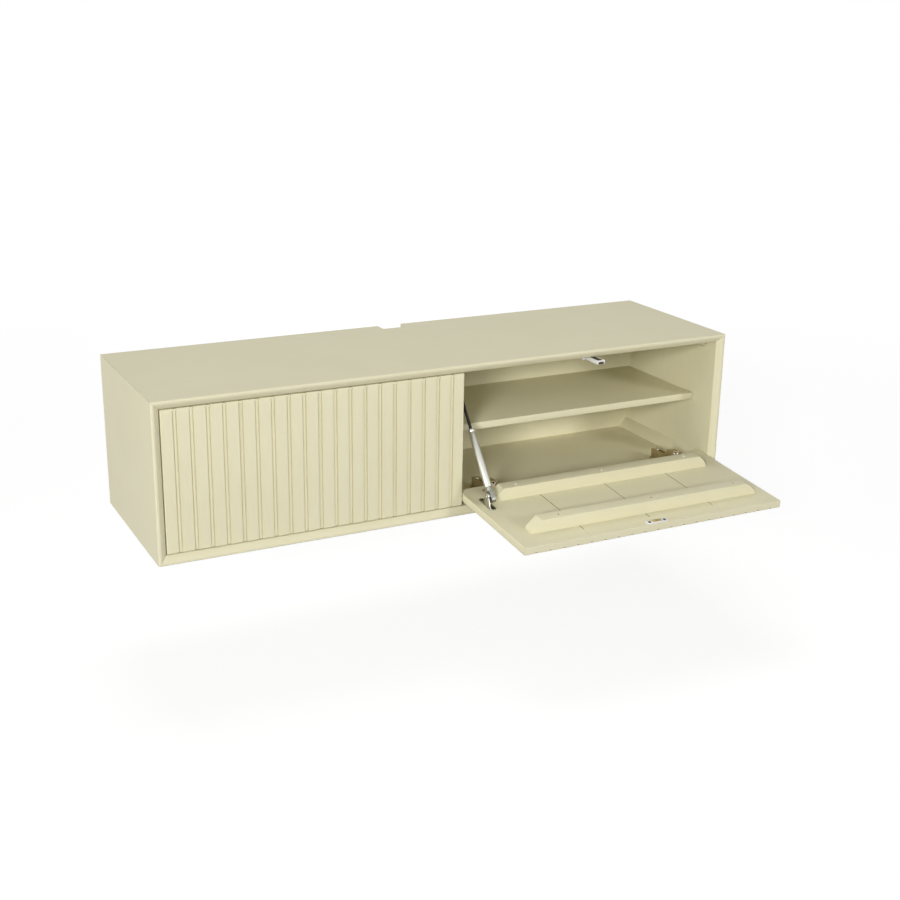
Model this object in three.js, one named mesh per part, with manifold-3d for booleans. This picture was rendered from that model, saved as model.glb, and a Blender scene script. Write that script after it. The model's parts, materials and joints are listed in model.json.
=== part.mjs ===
// A wall-hung media console: a mitred carcass with two shelved bays, each behind a drop-down door.
// Lengths are millimetres. X runs to the right, the front faces -Y and Z is up.
// The origin is the middle of the wall face of the lower hanging rail.
// The left door is shut and the right one is open. The left bay mirrors the right one.

import * as THREE from 'three';
import { mergeVertices } from 'three/addons/utils/BufferGeometryUtils.js';
import Module from 'manifold-3d';

const wasm = await Module();
wasm.setup();

// Carcass panels, mitred at the corners, with a bevel that frames the front
const cabinetWidth = 1200;
const cabinetDepth = 350;
const cabinetHeight = 300;
const panelThickness = 16;
const arrisRadius = 2.5;
const frontLand = 3;
const bevelReach = 9;
const dividerThickness = 24;

// The back panel stands off the wall by the recess that holds the hanging rails and the cables
const rearRecess = 30;
const backPanelThickness = 6;
const railHeight = 50;
const cableNotchWidth = 52;
const cableNotchDepth = 28;
const upperRailSpacing = 60;

// Shelves, lifted a little above the middle of the bay, and the triangular strips in the inner corners
const shelfThickness = 14;
const shelfFrontInset = 74;
const shelfLift = 1;
const shelfEndGap = 1;
const stripLeg = 20;
const stripFrontInset = 42;
const shelfStripInset = 50;

// Doors: boards side by side, with a grooved front whose first and last flat are a little narrower
const doorThickness = 15;
const doorSetBack = 8;
const doorGap = 2;
const doorMeetingGap = 2;
const boardCount = 4;
const flatsPerBoard = 5;
const endFlatWidth = 24.8;
const grooveMouth = 7.2;
const grooveFloor = 5.2;
const grooveDepth = 3;
const seamGap = 0.3;

// The hinge line, from the door's outer face and from its bottom edge, and how far the door drops
const hingeDepth = 8;
const hingeRise = 15;
const openAngle = THREE.MathUtils.degToRad(95);

// Battens on the inner face: how far the inner one starts above the door's bottom edge, and how far
// the outer one, which is a little longer, ends below its top edge
const battenEndInset = 40.5;
const outerBattenFarInset = 30;
const battenWidth = 25;
const battenHeight = 24.5;
const innerBattenRise = 48;
const outerBattenInset = 45.5;
const battenChamfer = 20;

// Concealed hinges: a cup in the door, an arm and a mounting plate on the floor
const hingeEndInset = 72.5;
const cupRadius = 17.5;
const cupDepth = 11;
const cupWall = 0.8;
const cupCentreRise = 22.5;
const flangeThickness = 1;
const flangeLength = 60;
const flangeWidth = 13;
const flangeRim = 1;
const flangeCorner = 6;
const hingePinRadius = 1.25;
const eyeRadius = 2.7;
const neckWidth = 8;
const neckThickness = 3;
const armWidth = 14;
const armTop = 32;
const armThickness = 4;
const armNoseReach = 2.6;
const armBridgeReach = 19;
const armSlopeReach = 22;
const armRearReach = 31;
const armHeel = 81;
const armHeelThickness = 3.5;
const hingeBaseWidth = 24;
const hingeBaseLength = 50;
const hingeBaseThickness = 3;
const hingeBlockHeight = 18;

// Push latch under the top panel: a housing and the plunger that pushes the door off
const latchInset = 292;
const plungerWidth = 16;
const plungerHeight = 8;
const plungerLength = 70;
const plungerProud = 10;
const plungerBelowTop = 4;
const latchWall = 1.3;
const latchCheek = 5;
const latchFront = 37;
const latchLength = 73;
const latchFootWidth = 42;
const latchFootThickness = 1.5;
const latchFootInset = 22;

// Strike plate on the door, in front of the plunger
const strikeLength = 48;
const strikeWidth = 14;
const strikeThickness = 2;
const strikeCorner = 3;
const strikeTopInset = 8;

// Stay between the door and the divider: cylinder, rod and their brackets. Its lower pivot lies at a
// share of the door's height.
const stayInset = 26.5;
const stayRiseShare = 0.322;
const stayDoorHeight = 21;
const stayTopDepth = 96.4;
const stayTopInset = 37.5;
const cylinderRadius = 7;
const tongueRadius = 6;
const tongueInner = 3;
const tongueDrop = 7;
const tongueReach = 10;
const rodRadius = 3;
const rodEyeRadius = 5.5;
const rodEyeWidth = 8;
const rodCollarRadius = 4;
const rodCollarLength = 14;
const rodCollarGap = 1.7;
const rodGrip = 13;
const rodEndGap = 2;
const stayPinRadius = 2.5;
const stayPinHeadRadius = 4;
const stayPinHeadThickness = 1.5;
const footLength = 52;
const footWidth = 12;
const footThickness = 2;
const footStart = 50;
const tabThickness = 2.5;
const tabWidth = 24;
const wallPlateWidth = 28;
const wallPlateLength = 40;
const wallPlateThickness = 2;
const wallPlateCorner = 6;
const bossRadius = 5;

// Clearances
const seatGap = 0.3;
const mitreGap = 0.3;
const runningGap = 0.3;
const sweepGap = 1;
const overrun = 1;

// Facets of arcs and round pieces, and the distance within which two vertices are one
const arrisSteps = 4;
const cornerSteps = 4;
const smallSteps = 16;
const roundSteps = 32;
const mergeDistance = 0.0001;

// Places that follow from the sizes above
const frontY = -cabinetDepth;
const innerHalfWidth = cabinetWidth / 2 - panelThickness;
const innerTop = cabinetHeight - panelThickness;
const backPanelRear = -rearRecess;
const backPanelFront = backPanelRear - backPanelThickness;
const bayStart = dividerThickness / 2;
const shelfUnderside = (panelThickness + innerTop - shelfThickness) / 2 + shelfLift;
const stayTop = [frontY + stayTopDepth, innerTop - stayTopInset];
const doorStart = doorMeetingGap / 2;
const doorEnd = innerHalfWidth - doorGap;
const doorWidth = doorEnd - doorStart;
const doorHeight = innerTop - panelThickness - 2 * doorGap;
const flatPitch = (doorWidth - 2 * endFlatWidth) / (boardCount * flatsPerBoard - 2);
const grooveAfter = (flats) => doorStart + endFlatWidth + (flats - 1) * flatPitch;
const boardStart = (index) => (index === 0 ? doorStart : grooveAfter(index * flatsPerBoard));
const boardEnd = (index) => (index === boardCount - 1 ? doorEnd : boardStart(index + 1));
const hingeLineY = frontY + doorSetBack + hingeDepth;
const hingeLineZ = panelThickness + doorGap + hingeRise;

// In a door's own frame the hinge line is the origin and the door stands upright
const doorFront = -hingeDepth;
const doorRear = doorThickness - hingeDepth;
const doorBottom = -hingeRise;
const doorTop = doorHeight - hingeRise;
const doorFace = doorRear + seatGap;

// The divider stays clear of the circle that the door's rear bottom edge draws around the hinge line
const dividerFront = hingeLineY + Math.hypot(doorRear, doorBottom) + sweepGap;

const paint = { color: '#dcd8b6', roughness: 0.55, metalness: 0 };
const paintShade = { color: '#c9c49c', roughness: 0.6, metalness: 0 };
const bronze = { color: '#6b5a3c', roughness: 0.4, metalness: 0.8 };
const steel = { color: '#c8cacc', roughness: 0.3, metalness: 0.9 };
const blackSteel = { color: '#1b1c1e', roughness: 0.35, metalness: 0.5 };
const whitePlastic = { color: '#eeeeea', roughness: 0.45, metalness: 0 };

// A closed geometry as a solid that can be joined and cut
function toSolid(geometry) {
  const bare = geometry.clone();
  bare.deleteAttribute('normal');
  bare.deleteAttribute('uv');
  const merged = mergeVertices(bare, mergeDistance);
  return new wasm.Manifold(
    new wasm.Mesh({
      numProp: 3,
      vertProperties: merged.attributes.position.array,
      triVerts: new Uint32Array(merged.index.array),
    }),
  );
}

function toGeometry(solid) {
  const mesh = solid.getMesh();
  const geometry = new THREE.BufferGeometry();
  geometry.setAttribute('position', new THREE.BufferAttribute(mesh.vertProperties, 3));
  geometry.setIndex(new THREE.BufferAttribute(mesh.triVerts, 1));
  const faceted = geometry.toNonIndexed();
  faceted.computeVertexNormals();
  return faceted;
}

function join(...geometries) {
  return toGeometry(geometries.map(toSolid).reduce((whole, next) => whole.add(next)));
}

function cut(geometry, ...tools) {
  return toGeometry(tools.map(toSolid).reduce((whole, tool) => whole.subtract(tool), toSolid(geometry)));
}

function common(first, second) {
  return toGeometry(toSolid(first).intersect(toSolid(second)));
}

// A box between two places on each axis
function block(x, y, z) {
  const spans = [x, y, z];
  const sizes = spans.map(([a, b]) => Math.abs(b - a));
  const middles = spans.map(([a, b]) => (a + b) / 2);
  return new THREE.BoxGeometry(...sizes).translate(...middles);
}

// Which way an outline's two axes and its extrusion point. Outlines are (y, z), (z, x) and (x, y).
const directions = {
  x: new THREE.Matrix4().makeBasis(
    new THREE.Vector3(0, 1, 0),
    new THREE.Vector3(0, 0, 1),
    new THREE.Vector3(1, 0, 0),
  ),
  y: new THREE.Matrix4().makeBasis(
    new THREE.Vector3(0, 0, 1),
    new THREE.Vector3(1, 0, 0),
    new THREE.Vector3(0, 1, 0),
  ),
  z: new THREE.Matrix4(),
};

// An outline carried along an axis between two places
function prism(axis, outline, ends) {
  const start = Math.min(...ends);
  const depth = Math.max(...ends) - start;
  const geometry = new THREE.ExtrudeGeometry(outline, {
    depth,
    bevelEnabled: false,
    curveSegments: cornerSteps,
  });
  return geometry.translate(0, 0, start).applyMatrix4(directions[axis]);
}

function polygon(points) {
  return new THREE.Shape(points.map(([a, b]) => new THREE.Vector2(a, b)));
}

// Points on an arc, both ends included
function arc(centreA, centreB, radius, startAngle, endAngle, steps) {
  const points = [];
  for (let i = 0; i <= steps; i += 1) {
    const angle = startAngle + ((endAngle - startAngle) * i) / steps;
    points.push([centreA + radius * Math.cos(angle), centreB + radius * Math.sin(angle)]);
  }
  return points;
}

function circle(centreA, centreB, radius, steps) {
  return polygon(arc(centreA, centreB, radius, 0, 2 * Math.PI, steps).slice(0, -1));
}

function roundedRectangle(centreA, centreB, sizeA, sizeB, corner) {
  const a = sizeA / 2 - corner;
  const b = sizeB / 2 - corner;
  const quarter = Math.PI / 2;
  return polygon([
    ...arc(centreA + a, centreB + b, corner, 0, quarter, cornerSteps),
    ...arc(centreA - a, centreB + b, corner, quarter, 2 * quarter, cornerSteps),
    ...arc(centreA - a, centreB - b, corner, 2 * quarter, 3 * quarter, cornerSteps),
    ...arc(centreA + a, centreB - b, corner, 3 * quarter, 4 * quarter, cornerSteps),
  ]);
}

// A straight strip of one thickness between two points of an outline's plane
function strip([a0, b0], [a1, b1], thickness) {
  const length = Math.hypot(a1 - a0, b1 - b0);
  const acrossA = (-(b1 - b0) / length) * (thickness / 2);
  const acrossB = ((a1 - a0) / length) * (thickness / 2);
  return polygon([
    [a0 - acrossA, b0 - acrossB],
    [a1 - acrossA, b1 - acrossB],
    [a1 + acrossA, b1 + acrossB],
    [a0 + acrossA, b0 + acrossB],
  ]);
}

function piece(name, geometry, look) {
  const mesh = new THREE.Mesh(geometry, new THREE.MeshStandardMaterial(look));
  mesh.name = name;
  return mesh;
}

// A carcass panel, lying level at a height above the carcass's middle. Its section is carried along
// its length and drawn in at both ends by as much as each point lies below the outer face.
function mitredPanel(length, height) {
  const outline = new THREE.Shape();
  outline.moveTo(cabinetDepth, 0);
  outline.lineTo(arrisRadius, 0);
  outline.absarc(arrisRadius, arrisRadius, arrisRadius, -Math.PI / 2, -Math.PI, true);
  outline.lineTo(0, arrisRadius + frontLand);
  outline.lineTo(bevelReach, panelThickness);
  outline.lineTo(cabinetDepth, panelThickness);
  const geometry = new THREE.ExtrudeGeometry(outline, {
    depth: 1,
    bevelEnabled: false,
    curveSegments: arrisSteps,
  });
  const endGap = mitreGap / Math.SQRT2;
  const position = geometry.attributes.position;
  for (let i = 0; i < position.count; i += 1) {
    const inset = position.getY(i);
    const reach = length / 2 - inset - endGap;
    const atFarEnd = position.getZ(i) > 0;
    position.setXYZ(i, atFarEnd ? -reach : reach, position.getX(i) - cabinetDepth, height - inset);
  }
  return geometry;
}

function carcassPanels() {
  const group = new THREE.Group();
  const level = mitredPanel(cabinetWidth, cabinetHeight / 2);
  const upright = mitredPanel(cabinetHeight, cabinetWidth / 2);
  const notchSide = cableNotchWidth / 2;
  const notch = block(
    [-notchSide, notchSide],
    [-cableNotchDepth, overrun],
    [0, cabinetHeight],
  );
  const top = piece('top_panel', cut(level, notch), paint);
  const bottom = piece('bottom_panel', level, paint);
  const right = piece('right_side_panel', upright, paint);
  const left = piece('left_side_panel', upright.clone(), paint);
  bottom.rotation.y = Math.PI;
  right.rotation.y = Math.PI / 2;
  left.rotation.y = -Math.PI / 2;
  group.add(top, bottom, left, right);
  group.position.z = cabinetHeight / 2;
  return group;
}

function carcassInside() {
  const divider = block(
    [-bayStart, bayStart],
    [dividerFront, backPanelFront],
    [panelThickness, innerTop],
  );
  const back = block(
    [-innerHalfWidth, innerHalfWidth],
    [backPanelFront, backPanelRear],
    [panelThickness, innerTop],
  );
  const lowerRail = block(
    [-innerHalfWidth, innerHalfWidth],
    [backPanelRear, 0],
    [panelThickness, panelThickness + railHeight],
  );
  return [
    piece('centre_divider', divider, paintShade),
    piece('back_panel', back, paintShade),
    piece('lower_rail', lowerRail, paintShade),
  ];
}

// A triangular strip in the corner at (x, z). Its legs run towards alongX and alongZ.
function cornerStrip(x, z, alongX, alongZ, inset) {
  const outline = polygon([
    [z, x],
    [z + alongZ * stripLeg, x],
    [z, x + alongX * stripLeg],
  ]);
  return prism('y', outline, [frontY + inset, backPanelFront]);
}

function bayJoinery(side, sideName) {
  const wall = side * innerHalfWidth;
  const inner = side * bayStart;
  const upperRail = block(
    [(side * upperRailSpacing) / 2, wall],
    [backPanelRear, 0],
    [innerTop - railHeight, innerTop],
  );
  const shelf = block(
    [inner + side * shelfEndGap, wall - side * shelfEndGap],
    [frontY + shelfFrontInset, backPanelFront],
    [shelfUnderside, shelfUnderside + shelfThickness],
  );
  const shelfStripFront = shelfFrontInset + shelfStripInset;
  const strips = {
    floor_wall_strip: cornerStrip(wall, panelThickness, -side, 1, stripFrontInset),
    floor_divider_strip: cornerStrip(inner, panelThickness, side, 1, stripFrontInset),
    top_wall_strip: cornerStrip(wall, innerTop, -side, -1, stripFrontInset),
    shelf_wall_strip: cornerStrip(wall, shelfUnderside, -side, -1, shelfStripFront),
    shelf_divider_strip: cornerStrip(inner, shelfUnderside, side, -1, shelfStripFront),
  };
  return [
    piece('upper_rail_' + sideName, upperRail, paintShade),
    piece('shelf_' + sideName, shelf, paintShade),
    ...Object.entries(strips).map(([name, geometry]) => piece(sideName + '_' + name, geometry, paintShade)),
  ];
}

// The mounting plate, with the arm that reaches over the door's edge into the cup
function hingeOnFloor(side, centre, name) {
  const spread = (width) => [centre - width / 2, centre + width / 2];
  const heel = hingeLineY + armHeel;
  const blockTop = panelThickness + hingeBlockHeight;
  const baseTop = panelThickness + hingeBaseThickness;
  const base = block(spread(hingeBaseWidth), [heel - hingeBaseLength, heel], [panelThickness, baseTop]);
  const saddle = block(spread(armWidth), [heel - hingeBaseLength, heel], [panelThickness, blockTop]);
  const armCrown = panelThickness + armTop;
  const nose = hingeLineY + armNoseReach;
  const armSide = polygon([
    [nose, armCrown - armThickness],
    [hingeLineY + armBridgeReach, armCrown - armThickness],
    [heel - hingeBaseLength, blockTop],
    [heel, blockTop],
    [heel, blockTop + armHeelThickness],
    [hingeLineY + armRearReach, blockTop + armHeelThickness],
    [hingeLineY + armSlopeReach, armCrown],
    [nose, armCrown],
  ]);
  const pivot = [hingeLineY, hingeLineZ];
  const neckEnd = [nose + neckThickness / 2, armCrown - armThickness / 2];
  const arm = cut(
    join(
      prism('x', armSide, spread(armWidth)),
      prism('x', strip(pivot, neckEnd, neckThickness), spread(neckWidth)),
      prism('x', circle(...pivot, eyeRadius, smallSteps), spread(neckWidth)),
    ),
    prism('x', circle(...pivot, hingePinRadius + runningGap, smallSteps), spread(armWidth)),
  );
  return [
    piece(name + '_hinge_plate', join(base, saddle), bronze),
    piece(name + '_hinge_arm', arm, bronze),
  ];
}

const plungerTop = innerTop - plungerBelowTop;
const plungerBottom = plungerTop - plungerHeight;

// The plunger rests on the strike plate when the door is shut, and stands proud of the front when open
const plungerFrontShut = hingeLineY + doorFace + strikeThickness + seatGap;
const plungerFrontOpen = frontY - plungerProud;

function latch(side, sideName, doorIsOpen) {
  const centre = side * latchInset;
  const spread = (width) => [centre - width / 2, centre + width / 2];
  const front = frontY + latchFront;
  const rear = front + latchLength;
  const boreWidth = plungerWidth + 2 * runningGap;
  const bore = block(
    spread(boreWidth),
    [front - overrun, rear - latchWall],
    [plungerBottom - runningGap, plungerTop + runningGap],
  );
  const body = block(
    spread(boreWidth + 2 * latchCheek),
    [front, rear],
    [plungerBottom - runningGap - latchWall, innerTop],
  );
  const foot = block(
    spread(latchFootWidth),
    [front + latchFootInset, rear - latchFootInset],
    [innerTop - latchFootThickness, innerTop],
  );
  const plungerFront = doorIsOpen ? plungerFrontOpen : plungerFrontShut;
  const plunger = block(
    spread(plungerWidth),
    [plungerFront, plungerFront + plungerLength],
    [plungerBottom, plungerTop],
  );
  return [
    piece(sideName + '_latch_housing', cut(join(body, foot), bore), whitePlastic),
    piece(sideName + '_latch_plunger', plunger, whitePlastic),
  ];
}

function stayWallBracket(side, sideName) {
  const plateFace = bayStart + wallPlateThickness;
  const bossEnd = stayInset - rodEyeWidth / 2 - runningGap;
  const plate = roundedRectangle(...stayTop, wallPlateWidth, wallPlateLength, wallPlateCorner);
  return piece(
    sideName + '_stay_wall_bracket',
    join(
      prism('x', plate, [side * bayStart, side * plateFace]),
      prism('x', circle(...stayTop, bossRadius, smallSteps), [side * bayStart, side * bossEnd]),
    ),
    steel,
  );
}

// A board seen from above. Grooves fall between the flats, and half a groove falls on each seam.
function boardPlan(side, index) {
  const start = boardStart(index);
  const groove = doorFront + grooveDepth;
  const isFirst = index === 0;
  const isLast = index === boardCount - 1;
  const quarter = Math.PI / 2;
  const endX = boardEnd(index);
  const rightX = isLast ? endX : endX - seamGap / 2;
  const leftX = isFirst ? start : start + seamGap / 2;
  const points = [
    [leftX, doorRear],
    [rightX, doorRear],
  ];
  const corner = doorFront + arrisRadius;
  if (isLast) {
    points.push(...arc(rightX - arrisRadius, corner, arrisRadius, 0, -quarter, arrisSteps));
  } else {
    points.push([rightX, groove], [endX - grooveFloor / 2, groove], [endX - grooveMouth / 2, doorFront]);
  }
  for (let flat = flatsPerBoard - 1; flat > 0; flat -= 1) {
    const middle = grooveAfter(index * flatsPerBoard + flat);
    points.push(
      [middle + grooveMouth / 2, doorFront],
      [middle + grooveFloor / 2, groove],
      [middle - grooveFloor / 2, groove],
      [middle - grooveMouth / 2, doorFront],
    );
  }
  if (isFirst) {
    points.push(...arc(leftX + arrisRadius, corner, arrisRadius, -quarter, -2 * quarter, arrisSteps));
  } else {
    points.push([start + grooveMouth / 2, doorFront], [start + grooveFloor / 2, groove], [leftX, groove]);
  }
  return polygon(points.map(([x, y]) => [side * x, y]));
}

// The door's section, with its front edges rounded at the top and the bottom
function doorSection() {
  const quarter = Math.PI / 2;
  const corner = doorFront + arrisRadius;
  return polygon([
    [doorRear, doorBottom],
    [doorRear, doorTop],
    ...arc(corner, doorTop - arrisRadius, arrisRadius, quarter, 2 * quarter, arrisSteps),
    ...arc(corner, doorBottom + arrisRadius, arrisRadius, 2 * quarter, 3 * quarter, arrisSteps),
  ]);
}

const cupCentreZ = doorBottom + cupCentreRise;

function doorBoards(side, sideName, hingeCentres) {
  const boards = [];
  for (let index = 0; index < boardCount; index += 1) {
    const ends = [side * doorStart, side * doorEnd];
    const board = common(
      prism('z', boardPlan(side, index), [doorBottom, doorTop]),
      prism('x', doorSection(), ends),
    );
    const bores = hingeCentres
      .filter((x) => Math.abs(x) > boardStart(index) && Math.abs(x) < boardEnd(index))
      .map((x) => {
        const rim = circle(cupCentreZ, x, cupRadius + seatGap, roundSteps);
        return prism('y', rim, [doorRear - cupDepth - seatGap, doorRear + overrun]);
      });
    const name = sideName + '_door_board_' + (index + 1);
    boards.push(piece(name, cut(board, ...bores), paint));
  }
  return boards;
}

// A batten, chamfered at the end next to the divider and rounded at the other
function batten(side, start, farInset) {
  const near = doorStart + battenEndInset;
  const far = doorEnd - farInset;
  const top = doorFace + battenHeight;
  const outline = [
    [near, doorFace],
    [far, doorFace],
    ...arc(far - battenHeight, doorFace, battenHeight, 0, Math.PI / 2, smallSteps).slice(1),
    [near + battenChamfer, top],
    [near, top - battenChamfer],
  ];
  return prism('z', polygon(outline.map(([x, y]) => [side * x, y])), [start, start + battenWidth]);
}

function strikePlate(side) {
  const centreZ = doorTop - strikeTopInset;
  const outline = roundedRectangle(centreZ, side * latchInset, strikeWidth, strikeLength, strikeCorner);
  return prism('y', outline, [doorFace, doorFace + strikeThickness]);
}

// The cup with its flange on the door's face, and the pin that the arm turns on
function hingeCup(centre) {
  const rimTop = doorFace + flangeThickness;
  const cupFloor = doorRear - cupDepth;
  const inside = cupRadius - cupWall;
  const round = (radius, ends) => prism('y', circle(cupCentreZ, centre, radius, roundSteps), ends);
  const flange = roundedRectangle(cupCentreZ, centre, flangeWidth, flangeLength, flangeCorner);
  const shell = cut(
    join(
      round(cupRadius, [cupFloor, rimTop]),
      round(cupRadius + flangeRim, [doorFace, rimTop]),
      prism('y', flange, [doorFace, rimTop]),
    ),
    round(inside, [cupFloor + cupWall, rimTop + overrun]),
  );
  const pinReach = Math.sqrt(inside ** 2 - cupCentreZ ** 2) + cupWall / 2;
  const pin = prism('x', circle(0, 0, hingePinRadius, smallSteps), [centre - pinReach, centre + pinReach]);
  return join(shell, pin);
}

// The stay's lower pivot, in the door's frame
const stayPivotY = doorRear + stayDoorHeight;
const stayPivotZ = doorBottom + doorHeight * stayRiseShare;

function stayDoorBracket(side) {
  const tabOuter = stayInset - tongueInner - runningGap;
  const tabInner = tabOuter - tabThickness;
  const tongueEnd = stayInset + cylinderRadius + runningGap;
  const footTop = doorFace + footThickness;
  const footEnd = doorBottom + footStart + footLength;
  const foot = block(
    [side * tabInner, side * (tabInner + footWidth)],
    [doorFace, footTop],
    [footEnd - footLength, footEnd],
  );
  const tabSide = polygon([
    [doorFace, stayPivotZ - tabWidth / 2],
    ...arc(stayPivotY, stayPivotZ, tongueRadius, -Math.PI / 2, Math.PI / 2, cornerSteps * 2),
    [doorFace, Math.min(stayPivotZ + tabWidth / 2, footEnd)],
  ]);
  const pinOutline = circle(stayPivotY, stayPivotZ, stayPinRadius, smallSteps);
  const headOutline = circle(stayPivotY, stayPivotZ, stayPinHeadRadius, smallSteps);
  return join(
    foot,
    prism('x', tabSide, [side * tabInner, side * tabOuter]),
    prism('x', pinOutline, [side * tabInner, side * (tongueEnd + stayPinHeadThickness)]),
    prism('x', headOutline, [side * tongueEnd, side * (tongueEnd + stayPinHeadThickness)]),
  );
}

// The stay's line from its lower to its upper pivot, for a door turned by an angle
function stayLine(doorAngle) {
  const lower = new THREE.Vector3(0, stayPivotY, stayPivotZ)
    .applyAxisAngle(new THREE.Vector3(1, 0, 0), doorAngle)
    .add(new THREE.Vector3(0, hingeLineY, hingeLineZ));
  const alongY = stayTop[0] - lower.y;
  const alongZ = stayTop[1] - lower.z;
  return { length: Math.hypot(alongY, alongZ), angle: Math.atan2(alongZ, alongY) };
}

// The cylinder ends below the rod's collar when the door is shut. The rod still holds in it when the
// door is open, and its end stays clear of the bore's bottom when the door is shut.
const stayShutLength = stayLine(0).length;
const cylinderEnd = stayShutLength - rodCollarLength - rodCollarGap;
const rodLength = stayLine(openAngle).length - cylinderEnd + rodGrip;
const cylinderBoreStart = stayShutLength - rodLength - rodEndGap;

// Cylinder and rod stand along Z here, with the lower pivot at the origin
function stayCylinder(side) {
  const centre = side * stayInset;
  const width = [side * (stayInset - tongueInner), side * (stayInset + cylinderRadius)];
  const round = (radius, ends, steps) => prism('z', circle(centre, 0, radius, steps), ends);
  const boreRadius = (rodRadius + runningGap) / Math.cos(Math.PI / smallSteps);
  return cut(
    join(
      prism('x', circle(0, -tongueDrop, tongueRadius, smallSteps), width),
      prism('x', strip([0, -tongueDrop], [0, tongueReach + overrun], tongueRadius * 2), width),
      round(cylinderRadius, [tongueReach, cylinderEnd], roundSteps),
    ),
    round(boreRadius, [cylinderBoreStart, cylinderEnd + overrun], smallSteps),
    prism('x', circle(0, 0, stayPinRadius + runningGap, smallSteps), [0, 2 * centre]),
  );
}

function stayRod(side, length) {
  const centre = side * stayInset;
  const width = [centre - rodEyeWidth / 2, centre + rodEyeWidth / 2];
  const round = (radius, ends) => prism('z', circle(centre, 0, radius, smallSteps), ends);
  return join(
    prism('x', circle(0, length, rodEyeRadius, smallSteps), width),
    round(rodCollarRadius, [length - rodCollarLength, length]),
    round(rodRadius, [length - rodLength, length]),
  );
}

function stay(side, sideName, doorAngle) {
  const line = stayLine(doorAngle);
  const group = new THREE.Group();
  group.position.set(0, stayPivotY, stayPivotZ);
  group.rotation.x = line.angle - Math.PI / 2 - doorAngle;
  group.add(
    piece(sideName + '_stay_cylinder', stayCylinder(side), steel),
    piece(sideName + '_stay_rod', stayRod(side, line.length), blackSteel),
  );
  return group;
}

function door(side, sideName, doorAngle, hingeCentres) {
  const group = new THREE.Group();
  group.position.set(0, hingeLineY, hingeLineZ);
  group.rotation.x = doorAngle;
  group.add(
    ...doorBoards(side, sideName, hingeCentres),
    piece(
      sideName + '_inner_batten',
      batten(side, doorBottom + innerBattenRise, battenEndInset),
      paint,
    ),
    piece(
      sideName + '_outer_batten',
      batten(side, doorTop - outerBattenInset - battenWidth, outerBattenFarInset),
      paint,
    ),
    piece(sideName + '_strike_plate', strikePlate(side), whitePlastic),
    piece(sideName + '_inner_hinge_cup', hingeCup(hingeCentres[0]), bronze),
    piece(sideName + '_outer_hinge_cup', hingeCup(hingeCentres[1]), bronze),
    piece(sideName + '_stay_door_bracket', stayDoorBracket(side), steel),
    stay(side, sideName, doorAngle),
  );
  return group;
}

function bay(side, sideName, doorIsOpen) {
  const group = new THREE.Group();
  const doorAngle = doorIsOpen ? openAngle : 0;
  const hingeCentres = [side * (doorStart + hingeEndInset), side * (doorEnd - hingeEndInset)];
  group.add(
    ...bayJoinery(side, sideName),
    ...hingeOnFloor(side, hingeCentres[0], sideName + '_inner'),
    ...hingeOnFloor(side, hingeCentres[1], sideName + '_outer'),
    ...latch(side, sideName, doorIsOpen),
    stayWallBracket(side, sideName),
    door(side, sideName, doorAngle, hingeCentres),
  );
  return group;
}

const cabinetConsole = new THREE.Group();
cabinetConsole.add(carcassPanels(), ...carcassInside(), bay(-1, 'left', false), bay(1, 'right', true));
cabinetConsole.position.z = -(panelThickness + railHeight / 2);

const mediaConsole = new THREE.Group();
mediaConsole.add(cabinetConsole);

export default mediaConsole;
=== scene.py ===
import json
import math
import re

import bmesh
import bpy
from mathutils import Matrix, Vector


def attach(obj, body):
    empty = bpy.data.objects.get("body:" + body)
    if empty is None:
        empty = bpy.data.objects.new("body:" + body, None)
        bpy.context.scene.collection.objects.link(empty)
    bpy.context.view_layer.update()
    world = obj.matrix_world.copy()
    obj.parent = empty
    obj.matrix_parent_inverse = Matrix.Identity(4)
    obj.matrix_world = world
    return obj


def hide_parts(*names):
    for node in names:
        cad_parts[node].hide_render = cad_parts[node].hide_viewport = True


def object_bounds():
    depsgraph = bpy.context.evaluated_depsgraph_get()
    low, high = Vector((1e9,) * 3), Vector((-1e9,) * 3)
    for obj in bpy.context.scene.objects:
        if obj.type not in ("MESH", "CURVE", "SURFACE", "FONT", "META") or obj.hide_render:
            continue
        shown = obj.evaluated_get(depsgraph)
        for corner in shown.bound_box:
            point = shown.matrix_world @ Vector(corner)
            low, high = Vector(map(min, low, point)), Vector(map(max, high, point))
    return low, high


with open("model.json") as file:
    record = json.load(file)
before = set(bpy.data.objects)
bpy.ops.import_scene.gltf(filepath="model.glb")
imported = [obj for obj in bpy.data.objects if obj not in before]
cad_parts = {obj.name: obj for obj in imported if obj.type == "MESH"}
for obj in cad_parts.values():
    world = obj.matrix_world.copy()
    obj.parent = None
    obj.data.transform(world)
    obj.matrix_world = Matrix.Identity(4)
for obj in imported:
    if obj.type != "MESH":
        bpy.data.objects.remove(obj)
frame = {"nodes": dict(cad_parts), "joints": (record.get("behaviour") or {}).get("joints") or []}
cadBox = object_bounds()
print("frame loaded:", len(frame["nodes"]), "nodes")

mm = 0.001
sides = {"left": -1, "right": 1}
jointPlace = {joint["name"]: Vector(joint["pos_m"]) for joint in frame["joints"] if "pos_m" in joint}
restAngle = {"left": 0, "right": math.radians(95)}  # the left door is shut, the right one open

# A door's own frame: the hinge line is the origin and the door stands upright
doorPlace = {
    name: Matrix.Translation((0, *jointPlace[name + "_door_hinge"].yz)) @ Matrix.Rotation(angle, 4, "X")
    for name, angle in restAngle.items()
}


def millimetres(**sizes):
    return {name: size * mm for name, size in sizes.items()}


def boxOf(points):  # lowest and highest corner
    return Vector([min(axis) for axis in zip(*points)]), Vector([max(axis) for axis in zip(*points)])


def nodeBox(node, side=1, place=Matrix()):  # in the frame that place stands for, mirrored where side is -1
    back = Matrix.Diagonal((side, 1, 1, 1)) @ place.inverted()
    return boxOf([back @ v.co for v in frame["nodes"][node].data.vertices])


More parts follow.
